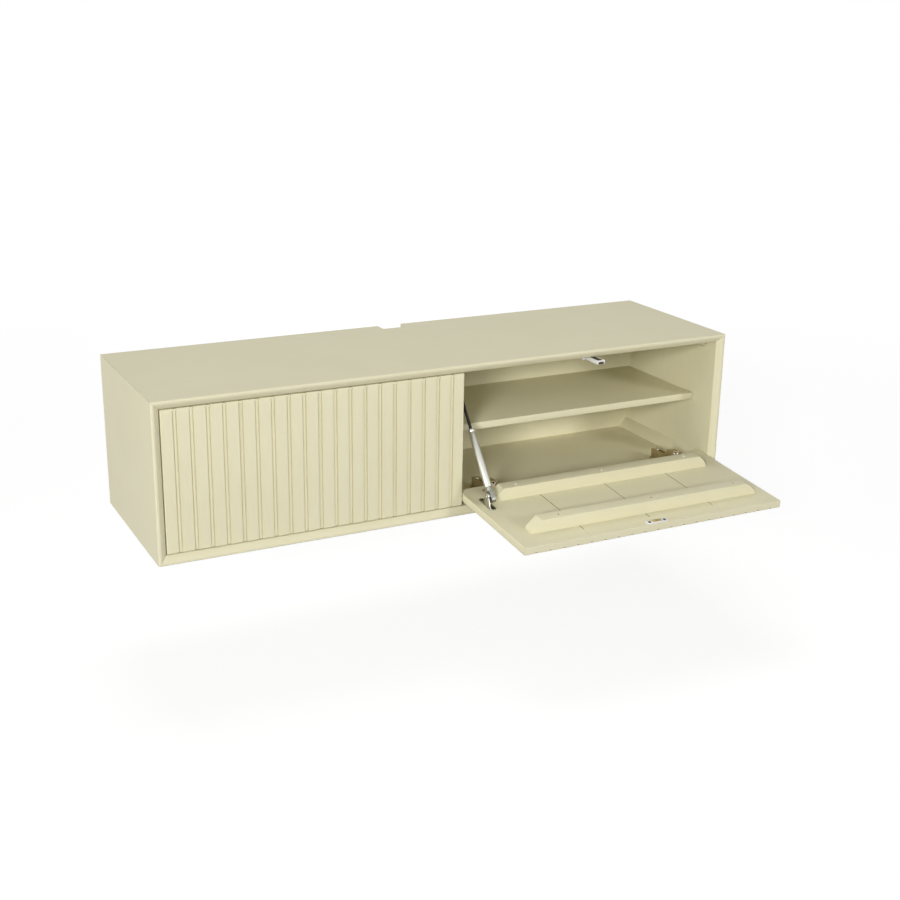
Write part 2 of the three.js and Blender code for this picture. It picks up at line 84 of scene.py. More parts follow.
def placed(name, data, matrix=Matrix()):  # a new object, put where matrix says
    thing = bpy.data.objects.new(name, data)
    thing.matrix_world = matrix
    bpy.context.collection.objects.link(thing)
    return thing


# Camera: the direction it looks from, its tilt and its lens come from the photograph's own perspective
cameraSettings = {
    "place": (-1.1575, -2.5327, 0.9262),
    "azimuth": -27.255,
    "elevation": 18.671,
    "roll": 0.917,
    "lens": 54.8,
    "sensor": 36,
    "farthest": 50,
}


def makeCamera(settings):
    azimuth, elevation, roll = (math.radians(settings[key]) for key in ("azimuth", "elevation", "roll"))
    turn = Matrix.Rotation(azimuth, 4, "Z") @ Matrix.Rotation(math.pi / 2 - elevation, 4, "X")
    matrix = Matrix.Translation(settings["place"]) @ turn @ Matrix.Rotation(roll, 4, "Z")
    data = bpy.data.cameras.new("camera")
    data.sensor_width = settings["sensor"]
    data.lens = settings["lens"]
    data.clip_end = settings["farthest"]
    bpy.context.scene.camera = placed("camera", data, matrix)


makeCamera(cameraSettings)
print("camera placed")

# Lamps, world and floor
lampSettings = {
    "leftKey": {"place": (-3.5, -4.48, 1.75), "aim": (0, 0, 0.1), "size": 1.2, "power": 212},
    "rightKey": {"place": (2.5, -4.8, 1.75), "aim": (0, 0, 0.1), "size": 1.0, "power": 81},
    "leftFill": {"place": (-6.0, -0.5, 1.5), "aim": (-0.5, -0.1, 0.1), "size": 2.0, "power": 78},
    "rearFill": {"place": (2.0, 4.2, 0.05), "aim": (0.1, -0.1, 0.1), "size": 0.3, "power": 62},
    "topFill": {"place": (0.1, 0.7, 3.4), "aim": (0, -0.1, 0.1), "size": 2.2, "power": 39},
}
worldSettings = {"colour": (1, 1, 1, 1), "strength": 0.13}
floorSettings = {
    "below": 0.28, "size": 24, "colour": (0.3, 0.3, 0.3, 1), "roughness": 0.9, "glow": 0.76,
    "clearFrom": 1.6, "clearTo": 3.0,
}


class Field:  # a node's output, on which each operation adds a math node
    def __init__(self, tree, socket):
        self.tree = tree
        self.socket = socket

    def math(self, operation, *others):
        node = addNode(self.tree, "ShaderNodeMath", dict(enumerate((self, *others))), operation=operation)
        return Field(self.tree, node.outputs[0])

    def __add__(self, other):
        return self.math("ADD", other)

    def __sub__(self, other):
        return self.math("SUBTRACT", other)

    def __rsub__(self, other):
        return self * -1 + other

    def __mul__(self, other):
        return self.math("MULTIPLY", other)

    def __truediv__(self, other):
        return self.math("DIVIDE", other)

    def __lt__(self, other):
        return self.math("LESS_THAN", other)

    def __gt__(self, other):
        return self.math("GREATER_THAN", other)

    def least(self, other):
        return self.math("MINIMUM", other)

    def most(self, other):
        return self.math("MAXIMUM", other)


def feed(tree, socket, value):  # links a field, a node or another socket, and sets anything else
    if isinstance(value, Field):
        value = value.socket
    if isinstance(value, bpy.types.Node):
        value = value.outputs[0]
    if isinstance(value, bpy.types.NodeSocket):
        tree.links.new(value, socket)
    else:
        socket.default_value = value


def addNode(tree, kind, values={}, **options):
    node = tree.nodes.new(kind)
    for key, option in options.items():
        setattr(node, key, option)
    for key, value in values.items():
        feed(tree, node.inputs[key], value)
    return node


def splitPlace(tree, source):
    split = addNode(tree, "ShaderNodeSeparateXYZ", {0: source})
    return [Field(tree, socket) for socket in split.outputs]


def makeLamp(name, settings):
    data = bpy.data.lights.new(name, "AREA")
    data.shape = "DISK"
    data.size = settings["size"]
    data.energy = settings["power"]
    place = Vector(settings["place"])
    aim = Vector(settings["aim"]) - place
    placed(name, data, Matrix.Translation(place) @ aim.to_track_quat("-Z", "Y").to_matrix().to_4x4())


def whiteForCamera(tree, lit, seen, target):  # camera and mirror rays meet seen, and all others lit
    path = addNode(tree, "ShaderNodeLightPath")
    share = path.outputs["Is Camera Ray"]
    for kind in ("Is Glossy Ray", "Is Transmission Ray"):
        share = addNode(tree, "ShaderNodeMath", {0: share, 1: path.outputs[kind]}, operation="MAXIMUM")
    feed(tree, target, addNode(tree, "ShaderNodeMixShader", {0: share, 1: lit, 2: seen}))


def makeWorld(settings):
    world = bpy.data.worlds.new("studio")
    world.use_nodes = True
    tree = world.node_tree
    ambient = tree.nodes["Background"]
    feed(tree, ambient.inputs["Color"], settings["colour"])
    feed(tree, ambient.inputs["Strength"], settings["strength"])
    white = addNode(tree, "ShaderNodeBackground", {"Color": (1, 1, 1, 1)})
    whiteForCamera(tree, ambient, white, tree.nodes["World Output"].inputs["Surface"])
    bpy.context.scene.world = world


def makeFloor(settings):
    height = cadBox[0].z - settings["below"]
    half = settings["size"] / 2
    mesh = bpy.data.meshes.new("floor")
    corners = [(-half, -half, height), (half, -half, height), (half, half, height), (-half, half, height)]
    mesh.from_pydata(corners, [], [(0, 1, 2, 3)])
    material = bpy.data.materials.new("floorPale")
    material.use_nodes = True
    tree = material.node_tree
    shader = tree.nodes["Principled BSDF"]
    feed(tree, shader.inputs["Base Color"], settings["colour"])
    feed(tree, shader.inputs["Roughness"], settings["roughness"])
    glow = addNode(tree, "ShaderNodeEmission", {"Strength": settings["glow"]})
    shaded = addNode(tree, "ShaderNodeAddShader", {0: shader, 1: glow})
    # Away from the object the floor is plain white, so that no horizon shows
    coordinates = addNode(tree, "ShaderNodeTexCoord")
    away = addNode(tree, "ShaderNodeVectorMath", {0: coordinates.outputs["Object"]}, operation="LENGTH")
    fade = addNode(tree, "ShaderNodeMapRange", {
        "Value": away.outputs["Value"], "From Min": settings["clearFrom"], "From Max": settings["clearTo"]})
    white = addNode(tree, "ShaderNodeEmission", {"Strength": 1})
    seen = addNode(tree, "ShaderNodeMixShader", {0: fade, 1: shaded, 2: white})
    whiteForCamera(tree, shader, seen, tree.nodes["Material Output"].inputs["Surface"])
    mesh.materials.append(material)
    floor = placed("floor", mesh)


makeWorld(worldSettings)
for lampName, lamp in lampSettings.items():
    makeLamp(lampName, lamp)
makeFloor(floorSettings)
bpy.context.scene.view_settings.view_transform = "Standard"
print("light and floor ready")

# Finishes: a ramp for the colour, a spread for the roughness and a fine bump, all on Object coordinates
paintFinish = {
    "colour": (0.745, 0.705, 0.500),
    "dark": (0.715, 0.672, 0.464),
    "roughness": 0.5,
    "grain": {"scale": 520, "detail": 3},
    "mottle": {"scale": 9, "detail": 2},
    "stretch": 0.045,
    "grainShare": 0.55,
}
metalFinishes = {
    "hingeBronze": {"colour": (0.64, 0.54, 0.34), "dark": (0.44, 0.36, 0.20), "roughness": 0.5, "scale": 240},
    "brightSteel": {"colour": (0.62, 0.62, 0.58), "dark": (0.42, 0.42, 0.39), "roughness": 0.24, "scale": 300},
    "paleSteel": {"colour": (0.9, 0.9, 0.86), "dark": (0.8, 0.8, 0.75), "roughness": 0.55, "scale": 300},
    "dieCastZinc": {"colour": (0.36, 0.36, 0.31), "dark": (0.26, 0.26, 0.22), "roughness": 0.4, "scale": 420},
    "darkScrew": {"colour": (0.10, 0.085, 0.055), "dark": (0.05, 0.04, 0.03), "roughness": 0.42, "scale": 500},
    "darkPlate": {"colour": (0.17, 0.135, 0.045), "dark": (0.10, 0.07, 0.02), "roughness": 0.45, "scale": 200},
    "keeperTan": {"colour": (0.50, 0.43, 0.22), "dark": (0.36, 0.30, 0.14), "roughness": 0.45, "scale": 300},
    "satinTube": {"colour": (0.62, 0.62, 0.57), "dark": (0.57, 0.57, 0.52), "roughness": 0.42, "scale": 900,
                  "stretch": (1, 1, 0.05)},
}
plasticFinishes = {
    "rustHole": {"colour": (0.33, 0.15, 0.03), "dark": (0.25, 0.11, 0.02), "roughness": 0.6},
    "blackRod": {"colour": (0.012, 0.012, 0.014), "dark": (0.008, 0.008, 0.009), "roughness": 0.3},
    # The next two colour the batten plugs: the brown disc is painted shade of the plug's hollow, the pale dome
    # a painted highlight
    "brownPlugShade": {"colour": (0.38, 0.26, 0.10), "dark": (0.3, 0.2, 0.07), "roughness": 0.6},
    "palePlugHighlight": {"colour": (0.86, 0.83, 0.70), "dark": (0.8, 0.77, 0.62), "roughness": 0.5},
    # seamShade: dark brown for the seams' joint lines with painted shadow in them, and for the painted shade in
    # the groove ends
    "seamShade": {"colour": (0.25, 0.19, 0.06), "dark": (0.19, 0.14, 0.04), "roughness": 0.7},
    "whitePlastic": {"colour": (0.86, 0.86, 0.84), "dark": (0.8, 0.8, 0.78), "roughness": 0.42},
}
looks = {
    "paint": {
        "ramp": (0.3, 0.62), "spread": (0.06, 0.08), "bump": 0.035 * mm, "plain": {"Specular IOR Level": 0.25},
    },
    "metal": {"ramp": (0.25, 0.7), "spread": (0.08, 0.1), "bump": 0.02 * mm, "plain": {"Metallic": 1}},
    "plastic": {"ramp": (0.3, 0.7), "spread": (0.05, 0.08), "bump": 0.01 * mm, "plain": {}},
}
plasticNoise = {"patches": 60, "fine": 1400}


def noiseOn(tree, scale, stretch=(1, 1, 1), detail=4):  # drawn out along an axis where stretch is small
    coordinates = addNode(tree, "ShaderNodeTexCoord")
    mapping = addNode(tree, "ShaderNodeMapping", {"Vector": coordinates.outputs["Object"], "Scale": stretch})
    noise = addNode(tree, "ShaderNodeTexNoise", {"Vector": mapping, "Scale": scale, "Detail": detail})
    return Field(tree, noise.outputs["Fac"])


def newMaterial(name, finish, look, noises):  # noises(tree) gives the colour's noise and the fine one
    material = bpy.data.materials.new(name)
    material.use_nodes = True
    tree = material.node_tree
    shader = tree.nodes["Principled BSDF"]
    broad, fine = noises(tree)
    ramp = addNode(tree, "ShaderNodeValToRGB", {0: broad})
    colours = (finish["dark"], finish["colour"])
    for stop, place, colour in zip(ramp.color_ramp.elements, look["ramp"], colours):
        stop.position = place
        stop.color = (*colour, 1)
    down, up = look["spread"]
    gloss = addNode(tree, "ShaderNodeMapRange", {
        "Value": fine, "To Min": finish["roughness"] - down, "To Max": finish["roughness"] + up})
    bump = addNode(tree, "ShaderNodeBump", {"Height": fine, "Distance": look["bump"], "Strength": 1})
    for key, value in {"Base Color": ramp, "Roughness": gloss, "Normal": bump, **look["plain"]}.items():
        feed(tree, shader.inputs[key], value)
    return material


def paintMaterial(name, along, finish):  # satin paint over wood whose grain runs along one axis
    stretch = [1, 1, 1]
    stretch["xyz".index(along)] = finish["stretch"]
    share = finish["grainShare"]

    def noises(tree):
        grain = noiseOn(tree, stretch=stretch, **finish["grain"])
        return grain * share + noiseOn(tree, **finish["mottle"]) * (1 - share), grain

    return newMaterial(name, finish, looks["paint"], noises)


def paintedGrooveShade(name, along, finish, edge, reach):  # paint for the groove walls with painted shade, darker still towards the grooves' open ends
    material = paintMaterial(name, along, finish)
    tree = material.node_tree
    base = tree.nodes["Principled BSDF"].inputs["Base Color"]
    place = splitPlace(tree, addNode(tree, "ShaderNodeTexCoord").outputs["Object"])
    shade = addNode(tree, "ShaderNodeMapRange", {
        "Value": place["xyz".index(along)], "From Min": edge, "From Max": edge + reach,
        "To Min": finish["endShade"]})
    paint = base.links[0].from_socket
    feed(tree, base, addNode(tree, "ShaderNodeVectorMath", {0: paint, "Scale": shade}, operation="SCALE"))
    return material


def metalMaterial(name, finish):
    def noises(tree):
        patches = noiseOn(tree, finish["scale"], finish.get("stretch", (1, 1, 1)))
        return patches, patches

    return newMaterial(name, finish, looks["metal"], noises)


def plasticMaterial(name, finish):
    def noises(tree):
        return noiseOn(tree, plasticNoise["patches"]), noiseOn(tree, plasticNoise["fine"])

    return newMaterial(name, finish, looks["plastic"], noises)


paintAlong = {axis: paintMaterial("creamPaintAlong" + axis.upper(), axis, paintFinish) for axis in "xyz"}
metals = {name: metalMaterial(name, finish) for name, finish in metalFinishes.items()}
plastics = {name: plasticMaterial(name, finish) for name, finish in plasticFinishes.items()}
bronze, brightSteel, dieCast = metals["hingeBronze"], metals["brightSteel"], metals["dieCastZinc"]
darkScrew, darkPlate, whitePlastic = metals["darkScrew"], metals["darkPlate"], plastics["whitePlastic"]
seamShade = plastics["seamShade"]
print("finishes ready")

# Mesh tools. An outline lies on two axes, in cyclic order, and its piece runs along the third
axisOrder = {"x": (1, 2, 0), "y": (2, 0, 1), "z": (0, 1, 2)}
meshSettings = {"weld": 0.001 * mm, "bevelAngle": 30, "sharpAngle": 35, "through": 10 * mm}


def meshPiece(name, points, faces, material):
    mesh = bpy.data.meshes.new(name)
    mesh.from_pydata([tuple(point) for point in points], [], faces)
    mesh.materials.append(material)
    work = bmesh.new()
    work.from_mesh(mesh)
    bmesh.ops.remove_doubles(work, verts=work.verts, dist=meshSettings["weld"])
    bmesh.ops.recalc_face_normals(work, faces=work.faces)
    work.to_mesh(mesh)
    work.free()
    return placed(name, mesh)


def onAxes(axis, *values):
    point = [0, 0, 0]
    for index, value in zip(axisOrder[axis], values):
        point[index] = value
    return point


def prism(name, outline, axis, start, end, material):
    count = len(outline)
    points = [onAxes(axis, a, b, level) for level in (start, end) for a, b in outline]
    faces = [tuple(range(count)), tuple(range(2 * count - 1, count - 1, -1))]
    faces += [(i, i + count, (i + 1) % count + count, (i + 1) % count) for i in range(count)]
    return meshPiece(name, points, faces, material)


def block(name, low, high, material):
    outline = [(low[0], low[1]), (high[0], low[1]), (high[0], high[1]), (low[0], high[1])]
    return prism(name, outline, "z", low[2], high[2], material)


def lathe(name, profile, axis, centre, material, steps=40):  # profile of (radius, height), closed on the axis
    middle = [centre[index] for index in axisOrder[axis]]
    points = []
    for radius, height in profile:
        for i in range(steps):
            angle = 2 * math.pi * i / steps
            across, aside = radius * math.cos(angle), radius * math.sin(angle)
            points.append(onAxes(axis, middle[0] + across, middle[1] + aside, middle[2] + height))
    faces = []
    for row in range(len(profile) - 1):
        for i in range(steps):
            j = (i + 1) % steps
            faces.append((row * steps + i, row * steps + j, (row + 1) * steps + j, (row + 1) * steps + i))
    return meshPiece(name, points, faces, material)


def disc(name, radius, start, end, axis, centre, material, steps=40):
    return lathe(name, [(0, start), (radius, start), (radius, end), (0, end)], axis, centre, material, steps)


def outlineOf(text, at):  # each point: a place named in at and millimetres from it, on both axes
    points = re.findall(r"([A-Za-z]+)([-+.\d]*) ([A-Za-z]+)([-+.\d]*)", text)
    return [(at[a] + float(da or 0) * mm, at[b] + float(db or 0) * mm) for a, da, b, db in points]


def arc(centre, radius, startAngle, endAngle, steps):
    angles = [math.radians(startAngle + (endAngle - startAngle) * i / steps) for i in range(steps + 1)]
    return [(centre[0] + radius * math.cos(a), centre[1] + radius * math.sin(a)) for a in angles]


def circle(centre, radius):
    return arc(centre, radius, 0, 345, 23)


def roundedOutline(low, high, radius, steps=6):
    left, right, bottom, top = low[0] + radius, high[0] - radius, low[1] + radius, high[1] - radius
    corners = ((right, top), (left, top), (left, bottom), (right, bottom))
    outline = []
    for i, corner in enumerate(corners):
        outline += arc(corner, radius, 90 * i, 90 * i + 90, steps)
    return outline


def bevel(piece, width, segments=3):
    change = piece.modifiers.new("softEdges", "BEVEL")
    change.width = width
    change.segments = segments
    change.limit_method = "ANGLE"
    change.angle_limit = math.radians(meshSettings["bevelAngle"])
    change.miter_outer = "MITER_ARC"
    return piece


def bevelSome(piece, width, segments, leave):  # leave(edge) is true for the edges that stay sharp
    limit = math.radians(meshSettings["bevelAngle"])
    work = bmesh.new()
    work.from_mesh(piece.data)
    weight = work.edges.layers.float.new("bevel_weight_edge")
    for edge in work.edges:
        edge[weight] = float(edge.calc_face_angle(0) > limit and not leave(edge))
    work.to_mesh(piece.data)
    work.free()
    bevel(piece, width, segments)
    piece.modifiers[-1].limit_method = "WEIGHT"


def bake(piece):  # the evaluated mesh takes the modifiers' place
    shape = piece.evaluated_get(bpy.context.evaluated_depsgraph_get())
    mesh = bpy.data.meshes.new_from_object(shape)
    piece.modifiers.clear()
    old = piece.data
    piece.data = mesh
    bpy.data.meshes.remove(old)


def combine(piece, others, operation="DIFFERENCE"):  # boolean with other pieces, which are used up
    for other in others:
        change = piece.modifiers.new("join", "BOOLEAN")
        change.operation = operation
        change.object = other
        change.solver = "EXACT"
    bake(piece)
    for other in others:
        bpy.data.objects.remove(other)


def merged(name, pieces):  # several closed shells as one piece
    mesh = bpy.data.meshes.new(name)
    work = bmesh.new()
    materials = []
    for piece in pieces:
        bake(piece)
        for material in piece.data.materials:
            if material not in materials:
                materials.append(material)
        start = len(work.faces)
        work.from_mesh(piece.data)
        work.faces.ensure_lookup_table()
        slots = [materials.index(material) for material in piece.data.materials]
        for face in work.faces[start:]:
            face.material_index = slots[face.material_index]
    work.to_mesh(mesh)
    work.free()
    for material in materials:
        mesh.materials.append(material)
    for piece in pieces:
        bpy.data.objects.remove(piece)
    return placed(name, mesh)


def finishPiece(piece, body, nodes=(), side=1, place=Matrix(), angle=meshSettings["sharpAngle"]):
    if piece.modifiers:
        bake(piece)
    piece.data.transform(place @ Matrix.Diagonal((side, 1, 1, 1)))
    if side < 0:
        piece.data.flip_normals()
    for face in piece.data.polygons:
        face.use_smooth = True
    piece.data.set_sharp_from_angle(angle=math.radians(angle))
    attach(piece, body)
    if nodes:
        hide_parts(*nodes)


# Carcass: four mitred members around the divider, the back panel and the rails
carcassSettings = {
    **millimetres(
        arris=2.5, land=3, bevelReach=9, thickness=16, cornerGap=0.14, rearSoftness=0.8, bevelSoftness=0.7,
        notchWidth=52, notchDepth=28, notchCorner=3, boardSoftness=1.2, stripSoftness=0.9,
    ),
    "roundBack": 0.3,
    "roundIn": 0.12,
    "strips": ("floor_wall", "floor_divider", "top_wall", "shelf_wall", "shelf_divider"),
}
carcassNodes = ["top_panel", "bottom_panel", "left_side_panel", "right_side_panel"]
carcassBox = boxOf([corner for node in carcassNodes for corner in nodeBox(node)])


def memberSection(settings, depth):  # (from the front, below the outer face), from the rear round the front
    arris, soft, rear = settings["arris"], settings["bevelSoftness"], settings["rearSoftness"]
    thickness, reach = settings["thickness"], settings["bevelReach"]
    roundBack, roundIn = soft * settings["roundBack"], soft * settings["roundIn"]
    landEnd = arris + settings["land"]
    slope = Vector((reach, thickness - landEnd)).normalized()
    inner = Vector((reach, thickness))
    section = [(depth - rear, 0)]
    section += arc((arris, arris), arris, 270, 180, 8)
    section += [(0, landEnd - soft), (roundIn, landEnd - roundBack)]
    section += [(slope.x * soft, landEnd + slope.y * soft), tuple(inner - slope * soft)]
    section += [(reach + roundBack, thickness - roundIn), (reach + soft, thickness)]
    section += [(depth - rear, thickness), (depth, thickness - rear), (depth, rear)]
    return section


def mitredMember(name, outerAxis, outerSign, settings):
    low, high = carcassBox
    centre = (low + high) / 2
    alongAxis = "x" if outerAxis == "z" else "z"
    along, outer = "xyz".index(alongAxis), "xyz".index(outerAxis)
    halfLength = (high[along] - low[along]) / 2
    face = centre[outer] + outerSign * (high[outer] - low[outer]) / 2
    section = memberSection(settings, high.y - low.y)
    points = []
    for end in (-1, 1):
        for inward, below in section:
            point = [0, 0, 0]
            point[along] = centre[along] + end * (halfLength - below - settings["cornerGap"])
            point[1] = low.y + inward
            point[outer] = face - outerSign * below
            points.append(point)
    count = len(section)
    faces = [tuple(range(count)), tuple(range(count, 2 * count))]
    faces += [(i, (i + 1) % count, (i + 1) % count + count, i + count) for i in range(count)]
    return meshPiece(name, points, faces, paintAlong[alongAxis])


def cableNotch(settings):
    low, high = nodeBox("top_panel")
    half, depth, corner = settings["notchWidth"] / 2, settings["notchDepth"], settings["notchCorner"]
    outline = [(half, high.y + depth), (-half, high.y + depth)]
    outline += arc((-half + corner, high.y - depth + corner), corner, 180, 270, 6)
    outline += arc((half - corner, high.y - depth + corner), corner, 270, 360, 6)
    return prism("notch", outline, "z", low.z - depth, high.z + depth, paintAlong["x"])


def softBoard(name, node, along, settings):  # a board with eased edges, as large as its node
    piece = block(name, *nodeBox(node), paintAlong[along])
    bevel(piece, settings["boardSoftness"])
    finishPiece(piece, "carcass", [node])


def cornerStrip(name, node, settings):
    low, high = nodeBox(node)
    seatHigh = ("wall" in node) == node.startswith("right")
    wallX, openX = (high.x, low.x) if seatHigh else (low.x, high.x)
    seatZ, openZ = (low.z, high.z) if "floor" in node else (high.z, low.z)
    piece = prism(name, [(seatZ, wallX), (openZ, wallX), (seatZ, openX)], "y", low.y, high.y, paintAlong["y"])
    bevel(piece, settings["stripSoftness"], 2)
    finishPiece(piece, "carcass", [node])


def buildCarcass(settings):
    top = mitredMember("topPanel", "z", 1, settings)
    combine(top, [cableNotch(settings)])
    finishPiece(top, "carcass", ["top_panel"])
    finishPiece(mitredMember("bottomPanel", "z", -1, settings), "carcass", ["bottom_panel"])
    for name, sign in sides.items():
        member = mitredMember(name + "SidePanel", "x", sign, settings)
        finishPiece(member, "carcass", [name + "_side_panel"])
        softBoard(name + "Shelf", "shelf_" + name, "x", settings)
        softBoard(name + "UpperRail", "upper_rail_" + name, "x", settings)
        for strip in settings["strips"]:
            cornerStrip(f"{name}_{strip}_cornerStrip", f"{name}_{strip}_strip", settings)
    softBoard("centreDivider", "centre_divider", "z", settings)
    softBoard("lowerRail", "lower_rail", "x", settings)
    frame["nodes"]["back_panel"].data.materials.clear()
    frame["nodes"]["back_panel"].data.materials.append(paintAlong["x"])


buildCarcass(carcassSettings)
print("carcass built")

# Doors: fluted boards from one node tree, joined across the back by two battens
doorSettings = {
    "flats": 5,
    "boardCount": 4,
    **millimetres(
        grooveDepth=3, grooveMouth=7.2, grooveFloor=5.2, grooveRound=0.2, grooveMargin=1, endFlatWidth=24.8,
        edgeRadius=1.2, wallMargin=0.4, rearSoftness=0.5, seamSoftness=1.1, boreClearance=0.3, boreReach=50,
        seamWidth=1.3, seamSink=0.1, seamDepth=0.9, seamStart=8, seamPastBatten=15,
        webLength=4.5, webSink=0.8, webSeat=0.2, webSet=0.4, spotWidth=4.8, spotBorder=1.5, spotSet=0.15,
        shadeReach=6,
    ),
    # Painted shade: the groove walls get a darker, yellower paint, which darkens further to endShade near the
    # free edge
    "wallPaintedShade": {"colour": (0.61, 0.565, 0.36), "dark": (0.57, 0.525, 0.32), "endShade": 0.35},
    # The boards' grain in the scene, and the way from the free edge into the door
    "grain": {"left": ("z", -1), "right": ("y", 1)},
    "sharpAngle": 30,
}
battenSettings = {
    **millimetres(softness=1.5, seat=0.28, chamfer=20, plugWidth=6.4),
    "bowRun": millimetres(inner=20, outer=27),
    "bowPast": millimetres(inner=0, outer=3),
    "bowFullness": 0.36,
    "bowSteps": 24,
    "plugPlaces": {"inner": (94, 290.5, 490.5), "outer": (103, 310.5, 505)},
    "plugKinds": {"inner": ("plugBump",), "outer": ("plugRing", "plug")},
}
boardMesh = {"perFlat": 36, "rows": 6, "flatShare": 1 / 18, "slack": 0.01, "steepness": 0.5}

fasteners = {}  # (body, kind, slot): places, facings and widths, in the scene's own coordinates


def addFastener(body, kind, slotName, place, facing, width, side=1, frameOf=Matrix()):
    turn = frameOf @ Matrix.Diagonal((side, 1, 1, 1))
    point = turn @ Vector(place)
    direction = turn.to_3x3() @ Vector(facing)
    fasteners.setdefault((body, kind, slotName), []).append((point, direction, width))


def nodeTree(name, inputs):  # inputs: the labels under each socket type
    tree = bpy.data.node_groups.new(name, "GeometryNodeTree")
    tree.interface.new_socket("Geometry", in_out="OUTPUT", socket_type="NodeSocketGeometry")
    names = {}
    for kind, labels in inputs.items():
        for label in labels:
            socket = tree.interface.new_socket(label, in_out="INPUT", socket_type="NodeSocket" + kind)
            names[label] = socket.identifier
    start = tree.nodes.new("NodeGroupInput")
    return tree, names, {label: Field(tree, start.outputs[label]) for label in names}


def endTree(tree, geometry, finish, selection=True):  # Realize Instances, Set Material and the group's output
    real = addNode(tree, "GeometryNodeRealizeInstances", {"Geometry": geometry})
    values = {"Geometry": real, "Selection": selection, "Material": finish}
    addNode(tree, "NodeGroupOutput", {0: addNode(tree, "GeometryNodeSetMaterial", values)})


def roundOff(radius, inward):  # how far an arc of that radius lies back, so far in from the edge
    reach = (radius - inward).most(0)
    return radius - (radius * radius - reach * reach).most(0).math("SQRT")


def flutedBoardTree(settings):
    perFlat, rows, flatShare = settings["perFlat"], settings["rows"], settings["flatShare"]
    tree, names, take = nodeTree("flutedBoard", {
        "Float": [
            "Flats", "Width", "Height", "Thickness", "Groove Depth", "Groove Mouth", "Groove Floor",
            "Groove Round", "Groove Margin", "Edge Radius", "Rear Softness", "Seam Softness",
            "First Flat", "Last Flat", "Plain Start", "Plain End", "Wall Reach",
        ],
        "Material": ["Finish", "Wall Painted Shade"],
    })
    flats, width, height, radius = take["Flats"], take["Width"], take["Height"], take["Edge Radius"]
    columns = flats * perFlat
    cube = addNode(tree, "GeometryNodeMeshCube", {
        "Vertices X": columns + 1, "Vertices Y": 2, "Vertices Z": 2 * rows + 2})
    placeX, placeY, placeZ = splitPlace(tree, addNode(tree, "GeometryNodeInputPosition").outputs[0])
    # Which flat a vertex belongs to, and how far it lies from the groove beside it
    column = ((placeX + 0.5) * columns).math("ROUND")
    lastFlat = flats - 1
    flat = ((column + settings["slack"]) / perFlat).math("FLOOR").least(lastFlat)
    share = (column - flat * perFlat) / perFlat
    away = (share * 2 - 1).math("ABSOLUTE")
    pitch = (width - take["First Flat"] - take["Last Flat"]) / (flats - 2)
    isFirst, isLast = flat < 0.5, flat > lastFlat - 0.5
    firstExtra = take["First Flat"] - pitch
    flatWidth = isFirst * firstExtra + isLast * (take["Last Flat"] - pitch) + pitch
    flatStart = flat * pitch + (1 - isFirst) * firstExtra
    zone = take["Groove Mouth"] / 2 + take["Groove Margin"]
    inZone = zone * (1 - away) / (1 - flatShare)
    onFlat = (flatWidth / 2 - zone) * (flatShare - away) / flatShare + zone
    distance = (away < flatShare - settings["slack"]) * (onFlat - inZone) + inZone
    rightHalf = share > 0.5
    x = flatStart + rightHalf * (flatWidth - distance * 2) + distance
    # The door's own ends have a rounded edge where the seams have half a groove
    plain = isFirst * (1 - rightHalf) * take["Plain Start"] + isLast * rightHalf * take["Plain End"]
    # A groove's wall has a small round at its foot and its mouth
    slope = addNode(tree, "ShaderNodeMapRange", {
        "Value": distance, "From Min": take["Groove Floor"] / 2 - take["Groove Round"],
        "From Max": take["Groove Mouth"] / 2 + take["Groove Round"], "To Min": 1, "To Max": 0,
    }, interpolation_type="SMOOTHSTEP")
    groove = take["Groove Depth"] * slope * (1 - plain)
    row = ((placeZ + 0.5) * (2 * rows + 1)).math("ROUND")

    def rise(steps):  # the height reached after so many rows of the rounded edge
        return radius * (1 - ((steps / rows).least(1) * (math.pi / 2)).math("COSINE"))

    z = (row > rows + 0.5) * (height - radius - rise(2 * rows + 1 - row)) + rise(row)
    fromEnd, fromSeam = z.least(height - z), x.least(width - x)
    front = groove.most(roundOff(radius, distance) * plain).most(roundOff(radius, fromEnd))
    rearOff = roundOff(take["Rear Softness"], fromEnd).most(roundOff(take["Seam Softness"], fromSeam))
    y = (placeY > 0) * (take["Thickness"] - rearOff - front) + front
    place = addNode(tree, "ShaderNodeCombineXYZ", {0: x, 1: y, 2: z})
    move = addNode(tree, "GeometryNodeSetPosition", {"Geometry": cube, "Position": place})
    paint = addNode(tree, "GeometryNodeSetMaterial", {"Geometry": move, "Material": take["Finish"]})
    # The walls of the grooves are the steep faces away from the board's own sides; they get the painted shade
    facing = splitPlace(tree, addNode(tree, "GeometryNodeInputNormal").outputs[0])[0].math("ABSOLUTE")
    inside = placeX.least(width - placeX) > take["Wall Reach"]
    endTree(tree, paint, take["Wall Painted Shade"], (facing > settings["steepness"]) * inside)
    return tree, names


def growFromTree(name, tree, names, values, mesh=None):
    piece = placed(name, mesh or bpy.data.meshes.new(name))
    change = piece.modifiers.new("tree", "NODES")
    change.node_group = tree
    for label, value in values.items():
        change[names[label]] = value
    bake(piece)
    return piece


